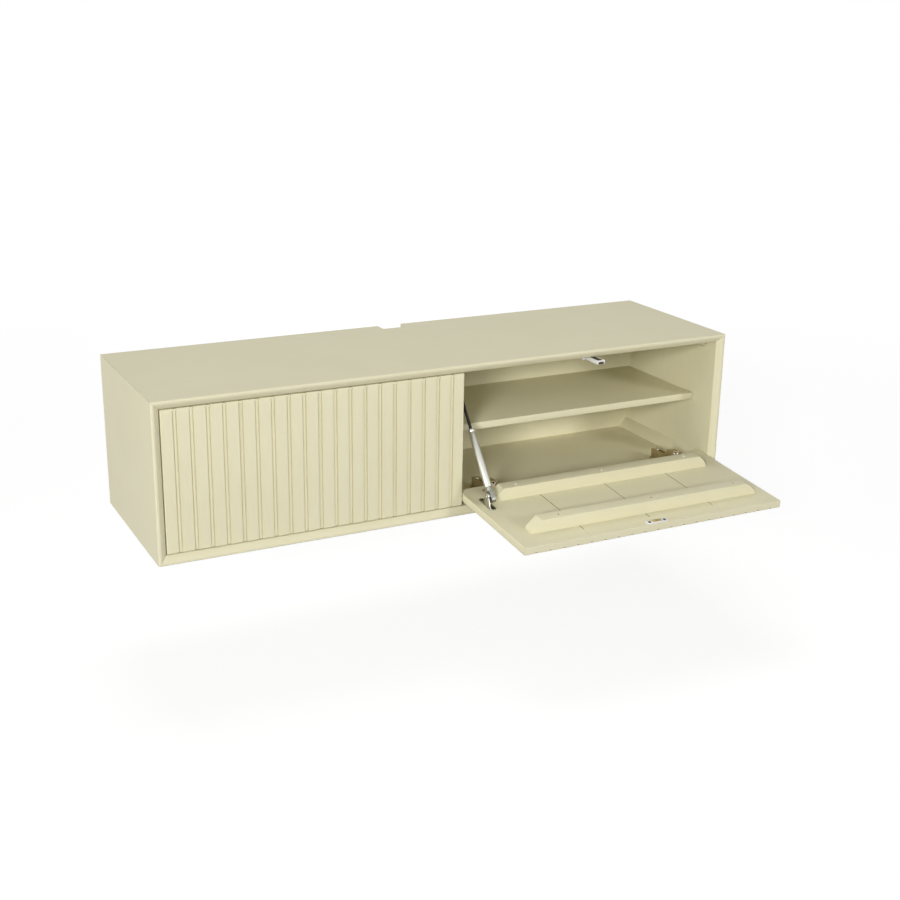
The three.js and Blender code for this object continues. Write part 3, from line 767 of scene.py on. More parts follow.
def buildBoards(name, side, settings, tree, names):
    place, count, endFlat = doorPlace[name], settings["boardCount"], settings["endFlatWidth"]
    nodes = [f"{name}_door_board_{number}" for number in range(1, count + 1)]
    boxes = [nodeBox(node, side, place) for node in nodes]
    doorLow, doorHigh = boxes[0][0], boxes[-1][1]
    pitch = (doorHigh.x - doorLow.x - 2 * endFlat) / (count * settings["flats"] - 2)
    along, inward = settings["grain"][name]
    freeEdge = (place @ doorHigh)["xyz".index(along)]
    # Painted shade on the groove walls, darkest at the free edge
    wallShadeFinish = {**paintFinish, **settings["wallPaintedShade"]}
    walls = paintedGrooveShade(name + "GroovePaint", along, wallShadeFinish, freeEdge, inward * settings["shadeReach"])
    for number, (node, (low, high)) in enumerate(zip(nodes, boxes), 1):
        board = growFromTree(f"{name}DoorBoard{number}", tree, names, {
            "Flats": float(settings["flats"]),
            "Width": high.x - low.x,
            "Height": high.z - low.z,
            "Thickness": high.y - low.y,
            "Groove Depth": settings["grooveDepth"],
            "Groove Mouth": settings["grooveMouth"],
            "Groove Floor": settings["grooveFloor"],
            "Groove Round": settings["grooveRound"],
            "Groove Margin": settings["grooveMargin"],
            "Edge Radius": settings["edgeRadius"],
            "Rear Softness": settings["rearSoftness"],
            "Seam Softness": settings["seamSoftness"],
            "First Flat": endFlat if number == 1 else pitch,
            "Last Flat": endFlat if number == count else pitch,
            "Plain Start": float(number == 1),
            "Plain End": float(number == count),
            "Wall Reach": settings["edgeRadius"] + settings["wallMargin"],
            "Finish": paintAlong[along],
            "Wall Painted Shade": walls,
        })
        board.data.transform(Matrix.Translation(low))
        bores = []
        for cup in ("inner", "outer"):
            cupLow, cupHigh = nodeBox(f"{name}_{cup}_hinge_cup", side, place)
            centre = (cupLow + cupHigh) / 2
            if low.x < centre.x < high.x:
                radius = (cupHigh.z - cupLow.z) / 2 + settings["boreClearance"]
                start = cupLow.y - settings["boreClearance"] - centre.y
                end = settings["boreReach"]
                bores.append(disc("bore", radius, start, end, "y", centre, paintAlong[along]))
        if bores:
            combine(board, bores)
        finishPiece(board, name + "_door", [node], side, place, settings["sharpAngle"])
    # At the free edge a thin web closes each groove, with a dark block in its end as painted shade
    face, top, seat = doorLow.y, doorHigh.z, settings["webSeat"]
    floor, end = face + settings["grooveDepth"], top - settings["webSet"]
    half, spotHalf = settings["grooveMouth"] / 2, settings["spotWidth"] / 2
    webs, shadeSpots = [], []
    for i in range(count * settings["flats"] - 1):
        x = doorLow.x + endFlat + pitch * i
        webLow, webHigh = (face + settings["webSink"], top - settings["webLength"]), (floor + seat, end)
        webs.append(block("web", (x - half, *webLow), (x + half, *webHigh), paintAlong[along]))
        spotLow, spotHigh = (face + settings["spotBorder"], end - seat), (floor, top - settings["spotSet"])
        shadeSpots.append(block("spot", (x - spotHalf, *spotLow), (x + spotHalf, *spotHigh), seamShade))
    # Each seam shows as a thin dark line, which runs out in front of the outer batten: the joint's own dark
    # line with painted shadow of the gap
    half, face = settings["seamWidth"] / 2, doorHigh.y
    top, bottom = face - settings["seamSink"], face - settings["seamDepth"]
    start = doorLow.z + settings["seamStart"]
    end = nodeBox(f"{name}_outer_batten", side, place)[1].z + settings["seamPastBatten"]
    details = [merged(name + "DoorGrooveWebs", webs), merged(name + "DoorGrooveSpots", shadeSpots)]
    for number in range(1, count):
        x = boxes[number][0].x
        outline = [(x - half, top), (x - half / 2, bottom), (x + half / 2, bottom), (x + half, top)]
        details.append(prism(f"{name}DoorSeam{number}", outline, "z", start, end, seamShade))
    for piece in details:
        finishPiece(piece, name + "_door", [], side, place, settings["sharpAngle"])


def buildBattens(name, side, settings, angle):
    place, door = doorPlace[name], name + "_door"
    for which in ("inner", "outer"):
        node = f"{name}_{which}_batten"
        low, high = nodeBox(node, side, place)
        radius, seat, chamfer = high.y - low.y, low.y - settings["seat"], settings["chamfer"]
        run, hollow = settings["bowRun"][which], 1 - settings["bowFullness"]
        high.x += settings["bowPast"][which]
        first, last = Vector((high.x, low.y)), Vector((high.x - run, high.y))
        corner = Vector((high.x - run * hollow / 2, high.y - radius * hollow / 2))
        outline = [(low.x, seat), (high.x, seat)]
        for step in range(settings["bowSteps"] + 1):
            t = step / settings["bowSteps"]
            outline.append(tuple(first * (1 - t) ** 2 + corner * 2 * t * (1 - t) + last * t ** 2))
        outline += [(low.x + chamfer, high.y), (low.x, high.y - chamfer)]
        piece = prism(f"{name}{which.capitalize()}Batten", outline, "z", low.z, high.z, paintAlong["x"])
        sunk = (seat + low.y) / 2
        bevelSome(piece, settings["softness"], 4, lambda edge: min(v.co.y for v in edge.verts) < sunk)
        finishPiece(piece, door, [node], side, place, angle)
        for x in settings["plugPlaces"][which]:
            point = (x * mm, high.y, (low.z + high.z) / 2)
            for kind in settings["plugKinds"][which]:
                addFastener(door, kind, "paint", point, (0, 1, 0), settings["plugWidth"], side, place)


boardTree, boardInputs = flutedBoardTree(boardMesh)
for sideName, sideSign in sides.items():
    buildBoards(sideName, sideSign, doorSettings, boardTree, boardInputs)
    buildBattens(sideName, sideSign, battenSettings, doorSettings["sharpAngle"])
print("doors built")

# Strike plate: a white base on the door with a metal keeper, met by the latch's plunger
strikeSettings = millimetres(
    softness=0.5, corner=5, screwInset=7.2, screwWidth=6.6, keeperLength=22, keeperWidth=9, keeperRise=0.5,
    keeperSet=-1.6, keeperCorner=0.8, keeperThickness=1.2, keeperSoftness=0.3, holeRadius=2.4, holeDepth=0.6,
    dotPlay=0.1, dotTop=-0.3,
)


def buildStrike(name, side, settings):
    place, door, tan = doorPlace[name], name + "_door", metals["keeperTan"]
    node = name + "_strike_plate"
    low, high = nodeBox(node, side, place)
    middle = (low + high) / 2
    face, across = high.y - settings["keeperRise"], middle.z + settings["keeperSet"]
    outline = roundedOutline((low.z, low.x), (high.z, high.x), settings["corner"])
    base = prism("base", outline, "y", low.y, face, whitePlastic)
    bevel(base, settings["softness"])
    size = Vector((settings["keeperWidth"], settings["keeperLength"])) / 2
    centre = Vector((across, middle.x))
    outline = roundedOutline(centre - size, centre + size, settings["keeperCorner"], 4)
    keeper = prism("keeper", outline, "y", high.y - settings["keeperThickness"], high.y, tan)
    bevel(keeper, settings["keeperSoftness"], 2)
    centre, radius, depth = (middle.x, high.y, across), settings["holeRadius"], -settings["holeDepth"]
    combine(keeper, [disc("hole", radius, depth, meshSettings["through"], "y", centre, tan, 20)])
    radius -= settings["dotPlay"]
    dot = disc("dot", radius, depth, settings["dotTop"], "y", centre, plastics["rustHole"], 20)
    plate = merged(name + "StrikePlate", [base, keeper, dot])
    finishPiece(plate, door, [node], side, place)
    for x in (low.x + settings["screwInset"], high.x - settings["screwInset"]):
        point = (x, face, middle.z)
        addFastener(door, "darkScrew", "bronze", point, (0, 1, 0), settings["screwWidth"], side, place)


# Hinges: a cup let into the door, a cranked arm over its edge and a mounting plate on the bay's floor
cupSettings = {
    **millimetres(
        radius=17.5, wall=0.8, rimLap=0.5, flangeWidth=13, flangeCorner=6.2, flangeThickness=0.9,
        flangeSink=0.1, flangeSoftness=0.3, screwInset=6, screwWidth=6.4, pinRadius=1.25,
    ),
    "shell": (
        "axis bottom, radius-1.2 bottom, radius-0.4 bottom+0.4, radius bottom+1.4, radius top-0.4, "
        "radius-0.2 top, inside top, inside-0.3 top-0.4, inside-0.3 bottom+2.6, inside-2 floor, "
        "axis floor"
    ),
    "rim": (
        "radius-0.5 top-1, radius+0.9 top-1, radius+0.9 top-0.4, radius+0.4 top, radius-0.5 top, "
        "radius-0.5 top-1"
    ),
}
armSettings = {
    **millimetres(
        width=14, sheet=1.5, cheek=1.2, softness=0.6, cheekSoftness=0.4, linkSoftness=0.3, slotStart=41,
        slotEnd=4, slotWidth=6.6, slotBelow=2, crownRise=4.2, heelThickness=3.5, rivetApart=6.8,
        eyeRadius=2.7, boreRadius=1.55, linkHalf=4, neckHalf=1.5,
        plateCorner=4, baseThickness=3, baseSoftness=0.5, saddlePlay=0.2, saddleSoftness=1, footPlay=0.3,
        wingScrewInset=2.7, wingScrewWidth=4.2,
    ),
    "slotRound": 0.98,
    # How far each bend lies behind the hinge line
    "reach": millimetres(nose=2.6, bridge=17, slope=24, rear=29),
    "saddle": "toe+2 floor, heel-1.5 floor, heel-1.5 seat, toe+6 seat",
    "web": (
        "nose crown, slope-1.5 crown, slope crown-0.6, rear top+0.6, rear+1.6 top, heel-2 top, "
        "heel top-0.8"
    ),
    "cheeks": (
        "nose crown-0.9, nose crown-8.4, nose+3 crown-9.6, bridge crown-9.8, bridge+4 seat-4, "
        "rear-1 foot+3, rear+2 foot, heel-3 foot, heel foot+4, heel top-1, rear+2 top-0.6, "
        "slope crown-1.2, slope-2 crown-0.6"
    ),
    "face": (
        "nose+1.2 crown-1.2, nose+0.2 crown-1.2, nose+0.2 crown-8, nose+1.2 crown-8"
    ),
    "rivet": (
        "axis axis+1.2, axis+2.1 axis+1.2, axis+2.1 axis, axis+1.5 axis-0.7, axis axis-0.9"
    ),
    "rivetPlace": "nose+0.2 crown-4.6",
    "neckEnd": "nose+1.5 crown-6.2",
    "screws": {"paleScrew": "heel-13 top-0.6", "darkScrew": "heel-34 top-2.6"},
    "screwWidths": millimetres(paleScrew=5.8, darkScrew=5.6),
}


def buildCup(name, which, side, settings):
    place, door = doorPlace[name], name + "_door"
    node = f"{name}_{which}_hinge_cup"
    low, high = nodeBox(node, side, place)
    centre = (low + high) / 2
    radius, bottom, top = settings["radius"], low.y - centre.y, high.y - centre.y
    wall, face = settings["wall"], high.y - settings["flangeSink"]
    inside = radius - wall
    at = {"axis": 0, "radius": radius, "inside": inside, "bottom": bottom, "floor": bottom + wall, "top": top}
    parts = [lathe(key, outlineOf(settings[key], at), "y", centre, bronze, 48) for key in ("shell", "rim")]
    half, through = settings["flangeWidth"] / 2, meshSettings["through"]
    outline = roundedOutline((centre.z - half, low.x), (centre.z + half, high.x), settings["flangeCorner"], 8)
    flange = prism("flange", outline, "y", face - settings["flangeThickness"], face, bronze)
    middle = (centre.x, high.y, centre.z)
    combine(flange, [disc("opening", radius - settings["rimLap"], -through, through, "y", middle, bronze, 48)])
    bevel(flange, settings["flangeSoftness"], 2)
    reach = math.sqrt(inside ** 2 - centre.z ** 2)
    pin = disc("pin", settings["pinRadius"], -reach, reach, "x", (centre.x, 0, 0), brightSteel, 20)
    cup = merged(f"{name}{which.capitalize()}HingeCup", [*parts, flange, pin])
    finishPiece(cup, door, [node], side, place)
    for x in (low.x + settings["screwInset"], high.x - settings["screwInset"]):
        point = (x, face, centre.z)
        addFastener(door, "crossScrew", "steel", point, (0, 1, 0), settings["screwWidth"], side, place)


def sheetOutline(path, thickness):  # a bent sheet's side view: the path and its offset to the right of it
    runs = [(Vector(b) - Vector(a)).normalized() for a, b in zip(path, path[1:])]
    back = []
    for point, before, after in zip(path, runs[:1] + runs, runs + runs[-1:]):
        lean = (before + after).normalized()
        normal = Vector((lean.y, -lean.x))
        back.append(tuple(Vector(point) + normal * thickness / lean.dot(before)))
    return path + back[::-1]


def buildHingeArm(name, which, side, settings):
    plateNode, armNode = f"{name}_{which}_hinge_plate", f"{name}_{which}_hinge_arm"
    title = name + which.capitalize()
    plateLow, plateHigh = nodeBox(plateNode, side)
    low, high = nodeBox(armNode, side)
    middle = (low.x + high.x) / 2
    hinge = jointPlace[name + "_door_hinge"]
    floor, heel, toe, seat = plateLow.z, plateHigh.y, plateLow.y, plateHigh.z
    at = {key: hinge.y + reach for key, reach in settings["reach"].items()}
    wingTop = floor + settings["baseThickness"]
    at.update(axis=0, toe=toe, heel=heel, floor=floor, seat=seat, foot=wingTop + settings["footPlay"])
    at.update(top=seat + settings["heelThickness"], crown=high.z + settings["crownRise"])
    outer, cheek, through = settings["width"] / 2, settings["cheek"], meshSettings["through"]
    inner = outer - cheek

    def across(key, half, material=bronze):  # one of the outlines in the settings, half to each side
        return prism(key, outlineOf(settings[key], at), "x", middle - half, middle + half, material)

    # Mounting plate: a base with rounded wings and a narrower saddle that the arm straddles
    outline = roundedOutline((plateLow.x, toe), (plateHigh.x, heel), settings["plateCorner"])
    base = prism("base", outline, "z", floor, wingTop, bronze)
    bevel(base, settings["baseSoftness"], 2)
    saddle = across("saddle", inner - settings["saddlePlay"])
    bevel(saddle, settings["saddleSoftness"])
    finishPiece(merged(title + "HingePlate", [base, saddle]), "carcass", [plateNode], side)
    for x in (plateLow.x + settings["wingScrewInset"], plateHigh.x - settings["wingScrewInset"]):
        point = (x, (toe + heel) / 2, wingTop)
        addFastener("carcass", "crossScrew", "steel", point, (0, 0, 1), settings["wingScrewWidth"], side)
    # Arm: a pressed channel, level over the saddle, then cranked up and over the door's edge
    outline = sheetOutline(outlineOf(settings["web"], at), settings["sheet"])
    web = prism("web", outline, "x", middle - outer, middle + outer, bronze)
    half = settings["slotWidth"] / 2
    start, end = heel - settings["slotStart"], heel - settings["slotEnd"]
    outline = roundedOutline((middle - half, start), (middle + half, end), half * settings["slotRound"])
    combine(web, [prism("slot", outline, "z", seat - settings["slotBelow"], at["crown"] + through, bronze)])
    bevel(web, settings["softness"])
    outline = outlineOf(settings["cheeks"], at)
    cheeks = [prism("cheek", outline, "x", middle + x, middle + x + cheek, bronze) for x in (-outer, inner)]
    for piece in cheeks:
        bevel(piece, settings["cheekSoftness"], 2)
    face = across("face", inner, darkScrew)
    profile, ((y, z),) = outlineOf(settings["rivet"], at), outlineOf(settings["rivetPlace"], at)
    rivets = []
    for sign in (-1, 1):
        centre = (middle + sign * settings["rivetApart"] / 2, y, z)
        rivets.append(lathe("rivet", profile, "y", centre, metals["paleSteel"], 16))
    # The link turns on the cup's pin: a neck and an eye below the arm's nose
    pivot, half = Vector((hinge.y, hinge.z)), settings["linkHalf"]
    end = Vector(outlineOf(settings["neckEnd"], at)[0])
    run = (end - pivot).normalized()
    lean = Vector((-run.y, run.x)) * settings["neckHalf"]
    outline = [tuple(point) for point in (pivot - lean, end - lean, end + lean, pivot + lean)]
    link = prism("link", outline, "x", middle - half, middle + half, bronze)
    eye = circle(pivot, settings["eyeRadius"])
    combine(link, [prism("ring", eye, "x", middle - half, middle + half, bronze)], "UNION")
    bore = circle(pivot, settings["boreRadius"])
    combine(link, [prism("bore", bore, "x", middle - through, middle + through, bronze)])
    bevel(link, settings["linkSoftness"], 2)
    arm = merged(title + "HingeArm", [web, *cheeks, face, *rivets, link])
    finishPiece(arm, "carcass", [armNode], side)
    for kind, width in settings["screwWidths"].items():
        point = (middle, *outlineOf(settings["screws"][kind], at)[0])
        addFastener("carcass", kind, "steel", point, (0, 0, 1), width, side)


for sideName, sideSign in sides.items():
    buildStrike(sideName, sideSign, strikeSettings)
    for which in ("inner", "outer"):
        buildCup(sideName, which, sideSign, cupSettings)
        buildHingeArm(sideName, which, sideSign, armSettings)
print("hinges built")

# Gas stays: brackets on the door and the divider, with a cylinder and a rod between them
staySettings = {
    **millimetres(
        inset=26.5, tubeRadius=7, fittingTop=16.8, fittingRadius=7.1, rodRadius=3, collarLength=14,
        shoulder=2.8, tongueRadius=6, tongueInner=3, tongueDrop=7, tongueSink=0.6, tongueSoftness=0.9,
        pinRadius=2.5, pinClearance=0.3, pinSink=2, pinPast=1.4, headRadius=4, headClearance=0.4,
        headDepth=1.2, headPast=1,
    ),
    "shoulderTurns": (0.4, 0.8, 1.2, math.pi / 2),
    "tubeTop": (
        "radius top-7.5, radius-0.4 top-6.8, radius-0.4 top-6.1, radius top-5.4, radius top-1.6, "
        "radius-0.5 top-0.4, radius-1.6 top, rod+0.5 top, rod+0.5 top-2, axis top-2"
    ),
    "collar": (
        "axis pivot+7.8, fitting-1.2 pivot+7.8, fitting pivot+9, fitting bottom-1.6, "
        "fitting-0.8 bottom-0.8, fitting-0.8 bottom+0.6, axis bottom+0.6"
    ),
    "prongTop": (
        "tongue pivot+9.5, pivot+4.5 pivot+12.5, pivot-4.5 pivot+12.5, back pivot+9.5"
    ),
    "shaft": (
        "axis low, rod-0.4 low, rod low+0.4, rod seat+0.5, axis+3.4 seat+0.5, axis+4 seat+1.2, "
        "axis+4 eye-4, axis eye-4"
    ),
    "eye": (
        "axis axis-4, axis+4.5 axis-4, axis+5.5 axis-3, axis+5.5 axis+3, axis+4.5 axis+4, axis axis+4"
    ),
}
bracketSettings = {
    **millimetres(
        plateThickness=2, plateCorner=6, plateSoftness=0.6, plateScrewWidth=6.6, plateScrewApart=27,
        tabOffset=6.1, tabThickness=2.5, tabSoftness=0.7, footThickness=2, footWidth=14, footSide=1.2,
        footStart=3.4, footPast=4.6, footCorner=6.4, footSoftness=0.4, footScrewWidth=6,
        dishDepth=0.9, dishRise=2, dishCorner=3.8, trayInset=0.4, trayCorner=3.4, trayDepth=1.2, trayTop=0.7,
    ),
    "dish": "start+17 tab+0.2, end-1.4 far-1.4",
    "boss": (
        "axis wall+0.5, axis+6.5 wall+0.5, axis+5 wall+4, axis+5 reach-0.8, axis+4.2 reach, axis reach"
    ),
    "tabFoot": "door+0.3 pivot-12",
    "tabTop": "door+4 pivot+14, door+0.3 end-3",
    "pin": (
        "axis near+0.4, axis+1.6 near+0.4, axis+2 near, head-0.6 near, head near+0.5, head near+0.9, "
        "shank near+1, shank out-1.2, head-0.3 out-1.2, head out-0.8, head-0.4 out-0.3, head-1 out, "
        "axis out"
    ),
    "spacer": (
        "axis spacerStart, axis+4.2 spacerStart, axis+4.2 spacerEnd-0.3, axis spacerEnd-0.3"
    ),
    "screws": "tab+1.4 start+7.6, tab+4.6 end-15.6",
    "screwSinks": (0, 0.7),
}


def stayFrame(name):
    pivot = jointPlace[name + "_stay_pivot"]
    low, high = nodeBox(name + "_stay_wall_bracket")
    reach = (low + high) / 2 - pivot
    turn = Matrix.Rotation(math.atan2(-reach.y, reach.z), 4, "X")
    return Matrix.Translation((0, pivot.y, pivot.z)) @ turn, math.hypot(reach.y, reach.z)


def buildStay(name, side, settings):
    place, length = stayFrame(name)
    centre, shoulder = settings["inset"], settings["shoulder"]
    middle = (centre, 0, 0)
    high = nodeBox(name + "_stay_cylinder", side, place)[1]
    bottom, radius, tongue = settings["fittingTop"], settings["tubeRadius"], settings["tongueRadius"]
    at = {
        "axis": 0, "pivot": 0, "radius": radius, "rod": settings["rodRadius"],
        "fitting": settings["fittingRadius"], "top": high.z, "bottom": bottom,
        "tongue": tongue, "back": -tongue, "eye": length,
        "low": nodeBox(name + "_stay_rod", side, place)[0].z, "seat": length - settings["collarLength"],
    }
    profile = [(0, bottom), (radius - shoulder, bottom)]
    for angle in settings["shoulderTurns"]:
        profile.append((radius - shoulder * (1 - math.sin(angle)), bottom + shoulder * (1 - math.cos(angle))))
    tube = lathe("tube", profile + outlineOf(settings["tubeTop"], at), "z", middle, metals["satinTube"], 48)
    # Die-cast fitting: a faceted collar and one prong beside the bracket's tab
    collar = lathe("collar", outlineOf(settings["collar"], at), "z", middle, dieCast, 10)
    outline = arc((0, -settings["tongueDrop"]), tongue, 180, 360, 18) + outlineOf(settings["prongTop"], at)
    start, end = centre - settings["tongueInner"], high.x - settings["tongueSink"]
    prong = prism("prong", outline, "x", start, end, dieCast)
    bore, head = (settings[key + "Radius"] + settings[key + "Clearance"] for key in ("pin", "head"))
    cuts = ((bore, 0, 2 * centre), (head, high.x - settings["headDepth"], high.x + settings["headPast"]))
    combine(prong, [prism("bore", circle((0, 0), hole), "x", start, end, dieCast) for hole, start, end in cuts])
    bevel(prong, settings["tongueSoftness"])
    cylinder = merged(name + "StayCylinder", [tube, collar, prong])
    finishPiece(cylinder, name + "_stay_barrel", [name + "_stay_cylinder"], side, place)
    # Rod with its upper fitting
    shaft = lathe("shaft", outlineOf(settings["shaft"], at), "z", middle, plastics["blackRod"], 32)
    eye = lathe("eye", outlineOf(settings["eye"], at), "x", (centre, 0, length), plastics["blackRod"], 28)
    rod = merged(name + "StayRod", [shaft, eye])
    finishPiece(rod, name + "_stay_slider", [name + "_stay_rod"], side, place)


def buildWallBracket(name, side, settings):
    low, high = nodeBox(name + "_stay_wall_bracket", side)
    middle = (low + high) / 2
    face = low.x + settings["plateThickness"]
    outline = roundedOutline(low.yz, high.yz, settings["plateCorner"])
    plate = prism("plate", outline, "x", low.x, face, brightSteel)
    bevel(plate, settings["plateSoftness"])
    profile = outlineOf(settings["boss"], {"axis": 0, "wall": 0, "reach": high.x - low.x})
    boss = lathe("boss", profile, "x", (low.x, *middle.yz), brightSteel, 32)
    bracket = merged(name + "StayWallBracket", [plate, boss])
    finishPiece(bracket, "carcass", [name + "_stay_wall_bracket"], side)
    for sign in (-1, 1):
        point = (face, middle.y, middle.z + sign * settings["plateScrewApart"] / 2)
        addFastener("carcass", "crossScrew", "steel", point, (1, 0, 0), settings["plateScrewWidth"], side)


def buildDoorBracket(name, side, settings, stay):  # a foot, and a tab with the stay's pivot pin
    place, door, centre = doorPlace[name], name + "_door", stay["inset"]
    low, high = nodeBox(name + "_stay_door_bracket", side, place)
    pivot = place.inverted() @ Vector((0, *jointPlace[name + "_stay_pivot"].yz))
    tabOuter = centre - settings["tabOffset"]
    tabInner = tabOuter - settings["tabThickness"]
    near, top = tabInner - settings["footSide"], low.y + settings["footThickness"]
    at = {
        "axis": 0, "start": low.z + settings["footStart"], "end": high.z + settings["footPast"],
        "tab": tabOuter, "far": near + settings["footWidth"], "door": low.y, "pivot": pivot.z,
        "head": stay["headRadius"], "shank": stay["pinRadius"], "near": tabInner - stay["pinPast"] - centre,
        "out": high.x - stay["pinSink"] - centre, "spacerStart": tabOuter - centre,
        "spacerEnd": -stay["tongueInner"],
    }
    outline = roundedOutline((at["start"], near), (at["end"], at["far"]), settings["footCorner"], 8)
    foot = prism("foot", outline, "y", low.y, top, brightSteel)
    dishLow, dishHigh = (Vector(point) for point in outlineOf(settings["dish"], at))
    outline = roundedOutline(dishLow, dishHigh, settings["dishCorner"], 8)
    start, end = top - settings["dishDepth"], top + settings["dishRise"]
    combine(foot, [prism("dish", outline, "y", start, end, brightSteel)])
    bevel(foot, settings["footSoftness"])
    inset = Vector((settings["trayInset"], settings["trayInset"]))
    outline = roundedOutline(dishLow + inset, dishHigh - inset, settings["trayCorner"], 8)
    tray = prism("tray", outline, "y", top - settings["trayDepth"], top - settings["trayTop"], darkPlate)
    outline = outlineOf(settings["tabFoot"], at) + arc(pivot.yz, stay["tongueRadius"], -90, 90, 16)
    tab = prism("tab", outline + outlineOf(settings["tabTop"], at), "x", tabInner, tabOuter, brightSteel)
    bevel(tab, settings["tabSoftness"])
    middle = (centre, *pivot.yz)
    pin = lathe("pin", outlineOf(settings["pin"], at), "x", middle, brightSteel, 28)
    spacer = lathe("spacer", outlineOf(settings["spacer"], at), "x", middle, dieCast, 24)
    bracket = merged(name + "StayDoorBracket", [foot, tray, tab, spacer, pin])
    finishPiece(bracket, door, [name + "_stay_door_bracket"], side, place)
    for (x, z), sink in zip(outlineOf(settings["screws"], at), settings["screwSinks"]):
        point = (x, top - sink * mm, z)
        addFastener(door, "darkScrew", "steel", point, (0, 1, 0), settings["footScrewWidth"], side, place)


# Push latches under the top: a housing and a plunger with a metal nose
latchSettings = {
    **millimetres(
        cheek=5, wall=1.3, running=0.3, through=5, rim=1, softness=0.45, lip=1.6, insertRear=6,
        insertCorner=1, insertDepth=1.6, insertPlay=0.1, insertLow=0.3, insertRise=0.4, fineSoftness=0.3,
        band=2.6, archInset=1.2, archRise=1.4, archPast=1, archDepth=6, stripInset=1.4, stripLow=0.4,
        stripTop=0.2, stripCorner=0.8, stripFront=1.2, stripRear=5.5,
        sleeveSoftness=1.2, ribStart=16, ribPitch=8.5, ribLength=4.5, ribHalf=0.9, ribLow=2, ribHigh=3,
        footThickness=1.5, footInset=22, earLap=1, earCorner=4, earSoftness=0.4, screwOut=4.5, screwWidth=5.6,
    ),
    "ribs": 6,
    "archSteps": 12,
}


def buildPlunger(name, side, settings):
    low, high = nodeBox(name + "_latch_plunger", side)
    bar = block("bar", low, high, whitePlastic)
    rim, depth, through, play = (settings[key] for key in ("rim", "insertDepth", "through", "insertPlay"))
    corner = settings["insertCorner"]
    front, rear = low.y + settings["lip"], high.y - settings["insertRear"]
    recess = roundedOutline((low.x + rim, front), (high.x - rim, rear), corner, 4)
    levels = ((high.z - depth, high.z + through), (low.z - through, low.z + depth))
    cuts = [prism("recess", recess, "z", start, end, whitePlastic) for start, end in levels]
    # Below its lip the nose is hollow, with an arched edge and a dark strip behind it
    band, inset, past = high.z - settings["band"], settings["archInset"], settings["archPast"]
    middle, half = (low.x + high.x) / 2, (high.x - low.x) / 2 - inset
    arch = [(low.z - past, low.x + inset), (low.z - past, high.x - inset)]
    for i in range(settings["archSteps"] + 1):
        angle = math.pi * (0.5 - i / settings["archSteps"])
        arch.append((band - settings["archRise"] * (1 - math.cos(angle)), middle + half * math.sin(angle)))
    cuts.append(prism("nose", arch, "y", low.y - past, low.y + settings["archDepth"], whitePlastic))
    combine(bar, cuts)
    bevel(bar, settings["softness"])
    inset = settings["stripInset"]
    stripLow = (low.z + settings["stripLow"], low.x + inset)
    stripHigh = (band - settings["stripTop"], high.x - inset)
    outline = roundedOutline(stripLow, stripHigh, settings["stripCorner"], 3)
    start, end = low.y + settings["stripFront"], low.y + settings["stripRear"]
    strip = prism("strip", outline, "y", start, end, darkScrew)
    outline = roundedOutline((low.x + rim + play, front + play), (high.x - rim - play, rear - play), corner, 4)
    top = high.z - depth + settings["insertRise"]
    insert = prism("insert", outline, "z", low.z + settings["insertLow"], top, darkPlate)
    bevel(insert, settings["fineSoftness"], 2)
    plunger = merged(name + "LatchPlunger", [bar, insert, strip])
    finishPiece(plunger, name + "_plunger", [name + "_latch_plunger"], side)


def buildHousing(name, side, settings):  # a ribbed sleeve around the plunger with two screwed ears
    inLow, inHigh = nodeBox(name + "_latch_plunger", side)
    low, high = nodeBox(name + "_latch_housing", side)
    middle, run = (inLow.x + inHigh.x) / 2, settings["running"]
    half = (inHigh.x - inLow.x) / 2 + run + settings["cheek"]
    sleeve = block("sleeve", (middle - half, low.y, low.z), (middle + half, high.y, high.z), whitePlastic)
    bevel(sleeve, settings["sleeveSoftness"], 4)
    bake(sleeve)
    mouthLow = (inLow.x - run, low.y - meshSettings["through"], inLow.z - run)
    mouthHigh = (inHigh.x + run, high.y - settings["wall"], inHigh.z + run)
    cuts = [block("mouth", mouthLow, mouthHigh, whitePlastic)]
    ribHalf, ribLow, ribHigh = settings["ribHalf"], low.z + settings["ribLow"], high.z - settings["ribHigh"]
    start, end = low.y + settings["footInset"], high.y - settings["footInset"]
    seat = high.z - settings["footThickness"]
    ears = []
    for sign in (-1, 1):
        x = middle + sign * half
        for step in range(settings["ribs"]):
            y = low.y + settings["ribStart"] + step * settings["ribPitch"]
            ribEnd = (x + ribHalf, y + settings["ribLength"], ribHigh)
            cuts.append(block("rib", (x - ribHalf, y, ribLow), ribEnd, whitePlastic))
        inner, outer = x - sign * settings["earLap"], high.x if sign > 0 else low.x
        outline = roundedOutline((min(inner, outer), start), (max(inner, outer), end), settings["earCorner"])
        ears.append(prism("ear", outline, "z", seat, high.z, whitePlastic))
        bevel(ears[-1], settings["earSoftness"], 2)
        point = (x + sign * settings["screwOut"], (start + end) / 2, seat)
        addFastener("carcass", "crossScrew", "steel", point, (0, 0, -1), settings["screwWidth"], side)
    combine(sleeve, cuts)
    bevel(sleeve, settings["fineSoftness"], 2)
    housing = merged(name + "LatchHousing", [sleeve, *ears])
    finishPiece(housing, "carcass", [name + "_latch_housing"], side)


for sideName, sideSign in sides.items():
    buildStay(sideName, sideSign, staySettings)
    buildWallBracket(sideName, sideSign, bracketSettings)
    buildDoorBracket(sideName, sideSign, bracketSettings, staySettings)
    buildPlunger(sideName, sideSign, latchSettings)
    buildHousing(sideName, sideSign, latchSettings)
print("stays and latches built")

